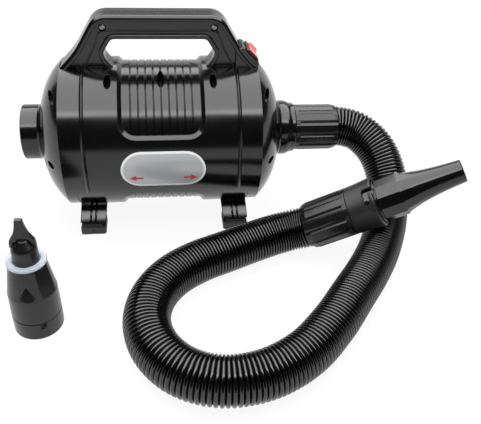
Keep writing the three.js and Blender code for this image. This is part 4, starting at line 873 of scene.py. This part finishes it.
def spareFrame(look):
    x, y = look["place"]
    return Matrix.Translation((x * mm, y * mm, 0)) @ Matrix.Rotation(math.radians(-90), 4, "Y")


def makeSpareNozzle(look):
    radius, wall = look["radius"], look["wall"]
    shoulderH, shoulderR = look["shoulder"]
    coneH, coneR = look["cone"]
    neck, neckTop, top = look["neck"], look["neckTop"], look["top"]
    groove = look["groove"]
    outer = [(0, radius - 0.6), (0.6, radius), (groove - 0.9, radius), (groove - 0.5, radius - 0.2),
             (groove, radius - 0.8), (groove + 0.5, radius - 0.2), (groove + 0.9, radius),
             (shoulderH - 0.6, shoulderR + 0.1), (shoulderH, shoulderR - 0.25), (coneH - 0.8, coneR + 0.1),
             (coneH, coneR - 0.5), (coneH, neck + 0.4), (coneH + 0.5, neck)]
    dome = [(neckTop - 3, neck - 0.4), (neckTop, 12.0), (108, 10.5), (110, 8.9), (112, 7.4), (114, 6.0),
            (top - 0.2, 5.2), (top, 4.8)]
    inner = [(top, look["mouth"]), (neckTop - wall, neck - wall - 1.6), (coneH - 2 * wall, neck - wall),
             (shoulderH, shoulderR - 2 * wall), (groove + 4, radius - wall), (0.5, radius - wall), (0, radius - wall + 0.4)]
    nozzle = looseObject("spareBody", turnedMesh(outer + dome + inner, 96))
    slope = math.atan2(shoulderR - coneR, coneH - shoulderH)
    length = math.hypot(shoulderR - coneR, coneH - shoulderH)
    cuts = []
    for i in range(look["flats"]):
        turn = Matrix.Rotation(math.radians(look["flatFacing"] + i * 360 / look["flats"]), 4, "X")
        lean = Matrix.Translation((shoulderH * mm, 0, shoulderR * mm)) @ Matrix.Rotation(slope, 4, "Y")
        cuts.append(looseObject("flatTool", moveMesh(
            boxMesh((0, -radius, -look["flatDepth"]), (length + 2, radius, 12)), turn @ lean)))
    wide, high, deep = look["notch"]  # a wedge, deepest at its point
    turn = Matrix.Rotation(math.radians(look["notchFacing"]), 4, "X")
    notch = loftMesh([[(shoulderH + 1, -wide / 2, r), (shoulderH + 1, wide / 2, r), (shoulderH + 1 + high, 0, point)]
                      for r, point in ((radius + 12, radius + 12), (shoulderR - 0.3, shoulderR - deep))])
    cuts.append(looseObject("notchTool", moveMesh(notch, turn)))
    across, tall, sunk = look["slot"]
    for opposite in (0, 180):
        turn = Matrix.Rotation(math.radians(look["pinFacing"] + opposite), 4, "X")
        low = look["pinHeight"]
        slot = loftMesh([[(low, -across / 2, foot), (low, across / 2, foot),
                          (low + tall, across / 2, head), (low + tall, -across / 2, head)]
                         for foot, head in ((radius + 4, radius + 4), (radius, radius - sunk))])
        cuts.append(looseObject("slotTool", moveMesh(slot, turn)))  # its floor leans back, so it looks black
    shapeBy(nozzle, cuts)
    pins = []
    thick = look["pin"]
    for opposite in (0, 180):
        pin = turnedMesh([(radius - wall, 0), (radius - wall, thick), (radius + 0.7, thick), (radius + 1.4, thick - 0.7),
                          (radius + 1.4, 0)], 24, ring=False)
        stand = Matrix.Rotation(math.radians(-90), 4, "Y")
        turn = Matrix.Rotation(math.radians(look["pinFacing"] + opposite), 4, "X")
        pins.append(looseObject("pinTool", moveMesh(
            pin, Matrix.Translation(((low - 1) * mm, 0, 0)) @ turn @ stand)))
    shapeBy(nozzle, pins, "UNION")
    nozzle.data.transform(spareFrame(look))
    nozzle.name = "spareNozzleBody"
    settlePiece(nozzle, satinPp, "spare", ["spare_nozzle"])
    side = ([(12.8, 106.3), (12.6, 110), (12.2, 113.3)] + bend((11.6, 115.4), (9.2, 118.6), (7.2, 122.4), 5)
            + [(5.2, 129), (4.0, 135), (3.6, 138.2), (3.1, 139)])
    arch = bend((9.3, 106.3), (8.8, 117), (0, 117), 8)
    half = arch[::-1] + side
    tip = plateMesh(wholeLine(half), 2.5, 0.7, 3)
    x, y = look["place"]
    moveMesh(tip, Matrix.Translation((x * mm, y * mm, 0)))
    finishPiece("spareNozzleBlade", tip, satinPp, "spare", ["spare_nozzle_tip"])
    ring = turnedMesh([(87.3, 14.2), (87.7, 13.6), (88.9, 13.4), (90.1, 13.6), (90.5, 14.2), (90.5, 18.9),
                       (90.1, 19.6), (88.9, 19.9), (87.7, 19.6), (87.3, 18.9)], 96)
    finishPiece("siliconeRing", moveMesh(ring, spareFrame(look)), siliconeClear, "seal", ["seal_ring"])
    print("spare nozzle is made")


guardLook = {"x": -152.0, "thick": 3.0, "outer": 29.2, "rim": 3.4, "boss": 6.0, "bars": 3, "width": 2.0}


def makeGuard(look):
    x, thick, outer = look["x"], look["thick"], look["outer"]
    inner = outer - look["rim"]
    ring = looseObject("guardRing", onBlower(turnedMesh([
        (x, outer - 0.6), (x, inner + 0.6), (x + 0.5, inner), (x + thick, inner), (x + thick, outer), (x + 0.6, outer)], 96)))
    tools = [looseObject("bossTool", onBlower(turnedMesh([
        (x - 0.0, 0), (x, 3.6), (x + 0.5, look["boss"] - 0.5), (x + 1.1, look["boss"]), (x + thick, look["boss"]),
        (x + thick, 0)], 48, ring=False)))]
    for i in range(look["bars"]):
        bar = boxMesh((x, -look["width"] / 2, 1 - outer), (x + thick, look["width"] / 2, outer - 1), 0.5, 2)
        tools.append(looseObject("barTool", onBlower(moveMesh(bar, Matrix.Rotation(math.pi * i / look["bars"], 4, "X")))))
    shapeBy(ring, tools, "UNION")
    ring.name = "intakeGuard"
    settlePiece(ring, satinPp, "housing", ["intake_guard"])


def makeGland():
    profile = [(80.3, 4.8), (80.3, 7), (89.3, 7), (89.3, 10), (90.8, 10), (91.5, 9.5), (91.7, 8.9), (91.7, 7.3),
               (92.6, 6.9), (93.4, 6.5), (93.7, 5.9), (93.6, 5.1), (93.2, 4.8)]
    turn = Matrix.Rotation(math.radians(-28), 4, "X") @ Matrix.Rotation(math.radians(90), 4, "Z")
    bm = moveMesh(turnedMesh(profile, 48), Matrix.Translation((62 * mm, 0, 0)) @ turn)
    finishPiece("cordInletGland", onBlower(bm), footRubber, "housing", ["cord_gland"])


screwNames = ["screw_top_middle", "screw_top_left", "screw_top_right", "screw_upper_left", "screw_upper_right",
              "screw_lower_left", "screw_lower_right", "screw_end_left", "screw_end_right",
              "screw_handle_left", "screw_handle_right"]


def makeScrews():
    # pan heads with a cross recess, and a plain shank in the rear shell
    profile = [(-2.6, 0), (-2.6, 1.6), (-2.4, 2.6), (-1.9, 3.4), (-1.2, 3.8), (0, 3.8), (0, 2.0), (22, 2.0), (22.6, 1.2), (22.6, 0)]
    bm = moveMesh(turnedMesh(profile, 32, ring=False), Matrix.Rotation(math.radians(90), 4, "Z"))
    master = looseObject("screwMaster", bm)
    shapeBy(master, [looseObject("crossTool", boxMesh((-2.3, -4, -0.45), (2.3, -1.3, 0.45), 0.1, 1)),
                     looseObject("crossTool", boxMesh((-0.45, -4, -2.3), (0.45, -1.3, 2.3), 0.1, 1))])
    for name, (x, z, floor) in zip(screwNames, housingLook["wells"]):
        mesh = master.data.copy()
        mesh.transform(Matrix.Translation(blowerPlace + Vector((x, -floor - 0.3, z)) * mm)
                       @ Matrix.Rotation(math.radians(x * 7 % 90), 4, "Y"))
        shank = 13 + floor + 0.3
        for vert in mesh.vertices:
            local = (vert.co.y - blowerPlace.y) / mm + floor + 0.3
            if local > 21:
                vert.co.y -= (22.6 - shank) * mm
        piece = bpy.data.objects.new(name.replace("screw_", "crossScrew_"), mesh)
        # screws in the deep wells get near-black steel as painted shade; the handle screws stay zinc grey
        finish = zincSteel if "handle" in name else wellShadeScrewSteel
        settlePiece(piece, finish, "housing", [name], sharp=35)
    bpy.data.objects.remove(master)
    print("screws are made")


def makeFootPads(look):
    for name, sideX, sideY in (("foot_front_left", -1, -1), ("foot_front_right", 1, -1),
                               ("foot_rear_left", -1, 1), ("foot_rear_right", 1, 1)):
        middleX = sideX * (look["x"] + look["splay"])
        middleY = sideY * (look["frontY"] - look["depth"] / 2)
        halfX, halfY = look["toeWidth"] / 2, look["depth"] / 2
        pad = boxMesh((middleX - halfX, middleY - halfY, -115), (middleX + halfX, middleY + halfY, -105))
        upright = [e for e in pad.edges if abs(e.verts[0].co.z - e.verts[1].co.z) > 1 * mm]
        bmesh.ops.bevel(pad, geom=upright, offset=3 * mm, offset_type="OFFSET", affect="EDGES",
                        segments=5, profile=0.5, material=-1, clamp_overlap=True)
        ends = [e for e in pad.edges if e.calc_face_angle(0) > 1.2]
        bmesh.ops.bevel(pad, geom=ends, offset=1.4 * mm, offset_type="OFFSET", affect="EDGES",
                        segments=3, profile=0.5, material=-1, clamp_overlap=True)
        piece = looseObject("padTool", onBlower(pad))
        neck = boxMesh((middleX - halfX + 4, middleY - halfY + 4, -106), (middleX + halfX - 4, middleY + halfY - 4, -101.3))
        shapeBy(piece, [looseObject("neckTool", onBlower(neck))], "UNION")
        front = middleY + sideY * halfY
        ends = sorted((front - sideY * 1.4, front + sideY))
        line = boxMesh((middleX - 1.1, ends[0], -116), (middleX + 1.1, ends[1], -104))
        shapeBy(piece, [looseObject("lineTool", onBlower(line))])
        piece.name = "rubberPad_" + name[5:]
        settlePiece(piece, footRubber, "housing", [name])
    print("foot pads are made")


makeLabel(labelLook)
makeSwitch(switchLook)
makeCuffs(cuffLook)
makeCollar(collarLook)
makeNozzle(nozzleLook)
makeSpareNozzle(spareLook)
makeGuard(guardLook)
makeGland()
makeScrews()
makeFootPads(footLook)


hoseLook = {
    "fittings": ["machineCuff", "handCuff", "bayonetCollar", "roundNozzle"],
    "route": [
        (172.3, 70.1, 115), (195, 70.1, 115), (210, 70.1, 115), (224, 70.1, 115), (248, 63.2, 110.8),
        (270, 40.6, 96.4), (279.8, 6.8, 69.2), (273.4, -28.6, 41), (253.3, -71.2, 28.5),
        (229, -108, 25.2), (202, -143, 25.2), (170.5, -183, 25.2), (132.5, -220.3, 25.2),
        (89.5, -242.2, 25.2), (46.3, -245.7, 25.2), (10.5, -231, 25.2), (-14, -201, 25.2),
        (-22.5, -165, 25.2), (-15, -130, 25.2), (5.4, -100.5, 25.2), (35.6, -78.3, 25.2),
        (71, -62, 25.4), (103, -48.5, 26.6), (131, -39.5, 29), (153.5, -36.6, 33),
        (172.5, -39.3, 40), (191.57, -43.51, 52.15), (210.39, -47.67, 64.14),
    ],
    "outer": 24.95, "valley": 21.9, "bore": 20.4, "ribs": 222, "sides": 32,
    # how far apart the ribs stand along the run, against their mean spacing
    "stretch": [(0, 1.02), (0.15, 1.05), (0.35, 1.06), (0.47, 1.1), (0.6, 1.15), (0.7, 1.05), (0.8, 0.95), (1, 0.92)],
}


def smoothRoute(points, stepsPerSpan):
    # a centripetal Catmull-Rom line through every point
    line = [Vector(p) for p in points]
    line = [2 * line[0] - line[1]] + line + [2 * line[-1] - line[-2]]
    out = []
    for a, b, c, d in zip(line, line[1:], line[2:], line[3:]):
        gaps = [math.sqrt((q - p).length) for p, q in ((a, b), (b, c), (c, d))]
        leave = ((b - a) / gaps[0] - (c - a) / (gaps[0] + gaps[1]) + (c - b) / gaps[1]) * gaps[1]
        arrive = ((c - b) / gaps[1] - (d - b) / (gaps[1] + gaps[2]) + (d - c) / gaps[2]) * gaps[1]
        for i in range(stepsPerSpan):
            t = i / stepsPerSpan
            out.append(b + leave * t + (-3 * b + 3 * c - 2 * leave - arrive) * t ** 2
                       + (2 * b - 2 * c + leave + arrive) * t ** 3)
    return out + [line[-2]]


def measuredRoute(points):
    # distances along the line, and frames carried along it without twist
    lengths = [0.0]
    for p, q in zip(points, points[1:]):
        lengths.append(lengths[-1] + (q - p).length)
    tangents = [(points[min(i + 1, len(points) - 1)] - points[max(i - 1, 0)]).normalized()
                for i in range(len(points))]
    side = Vector((0, 0, 1)).cross(tangents[0]).normalized()
    sides = [side]
    for p, q in zip(tangents, tangents[1:]):
        side = p.rotation_difference(q) @ side
        sides.append((side - q * side.dot(q)).normalized())
    return lengths, tangents, sides


def makeHose(look):
    points = smoothRoute(look["route"], 24)
    lengths, tangents, sides = measuredRoute(points)
    total = lengths[-1]
    depth = look["outer"] - look["valley"]
    gaps = []
    for i in range(look["ribs"]):
        along = (i + 0.5) / look["ribs"]
        for (low, before), (high, after) in zip(look["stretch"], look["stretch"][1:]):
            if low <= along <= high:
                gap = before + (after - before) * (along - low) / (high - low)
        gaps.append(gap)
    starts = [total * sum(gaps[:i]) / sum(gaps) for i in range(look["ribs"] + 1)]
    shape = [(0.0, 0.0), (0.08, 0.42), (0.2, 0.8), (0.35, 0.97), (0.5, 1.0), (0.65, 0.97), (0.8, 0.8), (0.92, 0.42)]
    outer = [(low + (high - low) * part, look["valley"] + depth * rise)
             for low, high in zip(starts, starts[1:]) for part, rise in shape] + [(total, look["valley"])]
    inner = [(total * i / 150, look["bore"]) for i in range(150, -1, -1)]
    bm = turnedMesh(outer + inner, look["sides"])
    at = 0
    for vert in sorted(bm.verts, key=lambda v: v.co.x):  # lay the straight tube along the route
        place = min(max(vert.co.x / mm, 0), total)
        while at + 2 < len(lengths) and lengths[at + 1] < place:
            at += 1
        part = (place - lengths[at]) / (lengths[at + 1] - lengths[at])
        middle = points[at].lerp(points[at + 1], part)
        tangent = tangents[at].lerp(tangents[at + 1], part).normalized()
        side = sides[at].lerp(sides[at + 1], part)
        side = (side - tangent * side.dot(tangent)).normalized()
        vert.co = (middle + side * vert.co.y / mm + tangent.cross(side) * vert.co.z / mm) * mm
    bmesh.ops.recalc_face_normals(bm, faces=bm.faces)
    hose = finishPiece("ribbedHose", bm, hoseEva, "housing", ["hose"], sharp=60)
    print("hose is laid, %.0f mm long" % total)


makeHose(hoseLook)


# the motor and fan keep their modelled shapes and get their own finishes
insideFinishes = {
    "intake_filter": filterFoam, "fan_cover": castAluminium, "motor_frame": castAluminium,
    "front_bearing": drawnSteel, "rear_bearing": drawnSteel, "stator": laminatedSteel,
    "brush_front": brushCarbon, "brush_rear": brushCarbon, "fan_mount": footRubber, "motor_mount": footRubber,
    "rotor_shaft": drawnSteel, "impeller": castAluminium, "armature": laminatedSteel, "commutator": turnedCopper,
}
for name, material in insideFinishes.items():
    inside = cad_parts[name]
    inside.data.materials.clear()
    inside.data.materials.append(material)
print("motor and fan are finished")


roomLook = {"floorSize": 12.0, "whiteShare": 0.92, "wall": (9.0, 1.7, 4.0)}  # metres


def makeRoom(look):
    bm = bmesh.new()
    bmesh.ops.create_grid(bm, x_segments=1, y_segments=1, size=look["floorSize"] / 2)
    mesh = bpy.data.meshes.new("paperFloor")
    bm.to_mesh(mesh)
    bm.free()
    floor = bpy.data.objects.new("paperFloor", mesh)
    scene.collection.objects.link(floor)
    material = bpy.data.materials.new("whiteBackgroundPaper")
    material.use_nodes = True
    tree = material.node_tree
    tree.nodes.clear()
    paper = addNode(tree, "ShaderNodeBsdfDiffuse", {"Color": linear("#f4f4f4")})
    white = addNode(tree, "ShaderNodeEmission", {"Color": (1, 1, 1, 1), "Strength": 1.0})
    rays = addNode(tree, "ShaderNodeLightPath")
    glossy = addNode(tree, "ShaderNodeMath", {"operation": "MAXIMUM"},
                     {0: rays.outputs["Is Camera Ray"], 1: rays.outputs["Is Glossy Ray"]})
    clear = addNode(tree, "ShaderNodeMath", {"operation": "MAXIMUM"},
                    {0: glossy.outputs[0], 1: rays.outputs["Is Transmission Ray"]})
    share = addNode(tree, "ShaderNodeMath", {"operation": "MULTIPLY"}, {0: clear.outputs[0]})
    share.inputs[1].default_value = look["whiteShare"]
    blend = addNode(tree, "ShaderNodeMixShader", None, {
        "Fac": share.outputs[0], 1: paper.outputs[0], 2: white.outputs[0],
    })
    output = addNode(tree, "ShaderNodeOutputMaterial", None, {"Surface": blend.outputs[0]})
    floor.data.materials.append(material)

    # a strip of white wall far behind, which only lenses and mirrors see: it lights the top outlines
    bm = bmesh.new()
    bmesh.ops.create_grid(bm, x_segments=1, y_segments=1, size=0.5)
    wide, high, behind = look["wall"]
    bm.transform(Matrix.Translation((0, behind, high / 2)) @ Matrix.Rotation(math.radians(90), 4, "X")
                 @ Matrix.Diagonal((wide, high, 1, 1)))
    mesh = bpy.data.meshes.new("whiteWall")
    bm.to_mesh(mesh)
    bm.free()
    wall = bpy.data.objects.new("whiteWall", mesh)
    scene.collection.objects.link(wall)
    wall.visible_diffuse = False
    wall.visible_shadow = False
    material = bpy.data.materials.new("whiteWallPaint")
    material.use_nodes = True
    tree = material.node_tree
    tree.nodes.clear()
    white = addNode(tree, "ShaderNodeEmission", {"Color": (1, 1, 1, 1), "Strength": 1.0})
    nothing = addNode(tree, "ShaderNodeBsdfTransparent")
    away = addNode(tree, "ShaderNodeNewGeometry").outputs["Backfacing"]
    blend = addNode(tree, "ShaderNodeMixShader", None, {"Fac": away, 1: white.outputs[0], 2: nothing.outputs[0]})
    addNode(tree, "ShaderNodeOutputMaterial", None, {"Surface": blend.outputs[0]})
    wall.data.materials.append(material)

    world = bpy.data.worlds.new("studio")
    world.use_nodes = True
    scene.world = world
    tree = world.node_tree
    tree.nodes.clear()
    rays = addNode(tree, "ShaderNodeLightPath")
    seen = addNode(tree, "ShaderNodeBackground", {"Color": (1, 1, 1, 1), "Strength": 1.0})
    dim = addNode(tree, "ShaderNodeBackground", {"Color": (1, 1, 1, 1), "Strength": 0.03})
    # mirrored rays keep the dim studio, which the black plastic shows in the photograph
    clear = addNode(tree, "ShaderNodeMath", {"operation": "MAXIMUM"},
                    {0: rays.outputs["Is Camera Ray"], 1: rays.outputs["Is Transmission Ray"]})
    blend = addNode(tree, "ShaderNodeMixShader", None, {
        "Fac": clear.outputs[0], 1: dim.outputs[0], 2: seen.outputs[0],
    })
    addNode(tree, "ShaderNodeOutputWorld", None, {"Surface": blend.outputs[0]})


def makeLamp(name, place, target, size, power):
    data = bpy.data.lights.new(name, "AREA")
    data.shape = "RECTANGLE"
    data.size, data.size_y = size
    data.energy = power
    lamp = bpy.data.objects.new(name, data)
    direction = Vector(target) - Vector(place)
    lamp.rotation_euler = direction.to_track_quat("-Z", "Y").to_euler()
    lamp.location = place
    scene.collection.objects.link(lamp)
    return lamp


makeRoom(roomLook)
makeLamp("topSoftbox", (0.05, 0.27, 0.88), (0.05, 0.27, 0), (1.7, 1.72), 38)
makeLamp("frontStrip", (0.05, -0.49, 0.86), (0.05, -0.49, 0), (1.7, 0.14), 2.4)
print("room is lit")
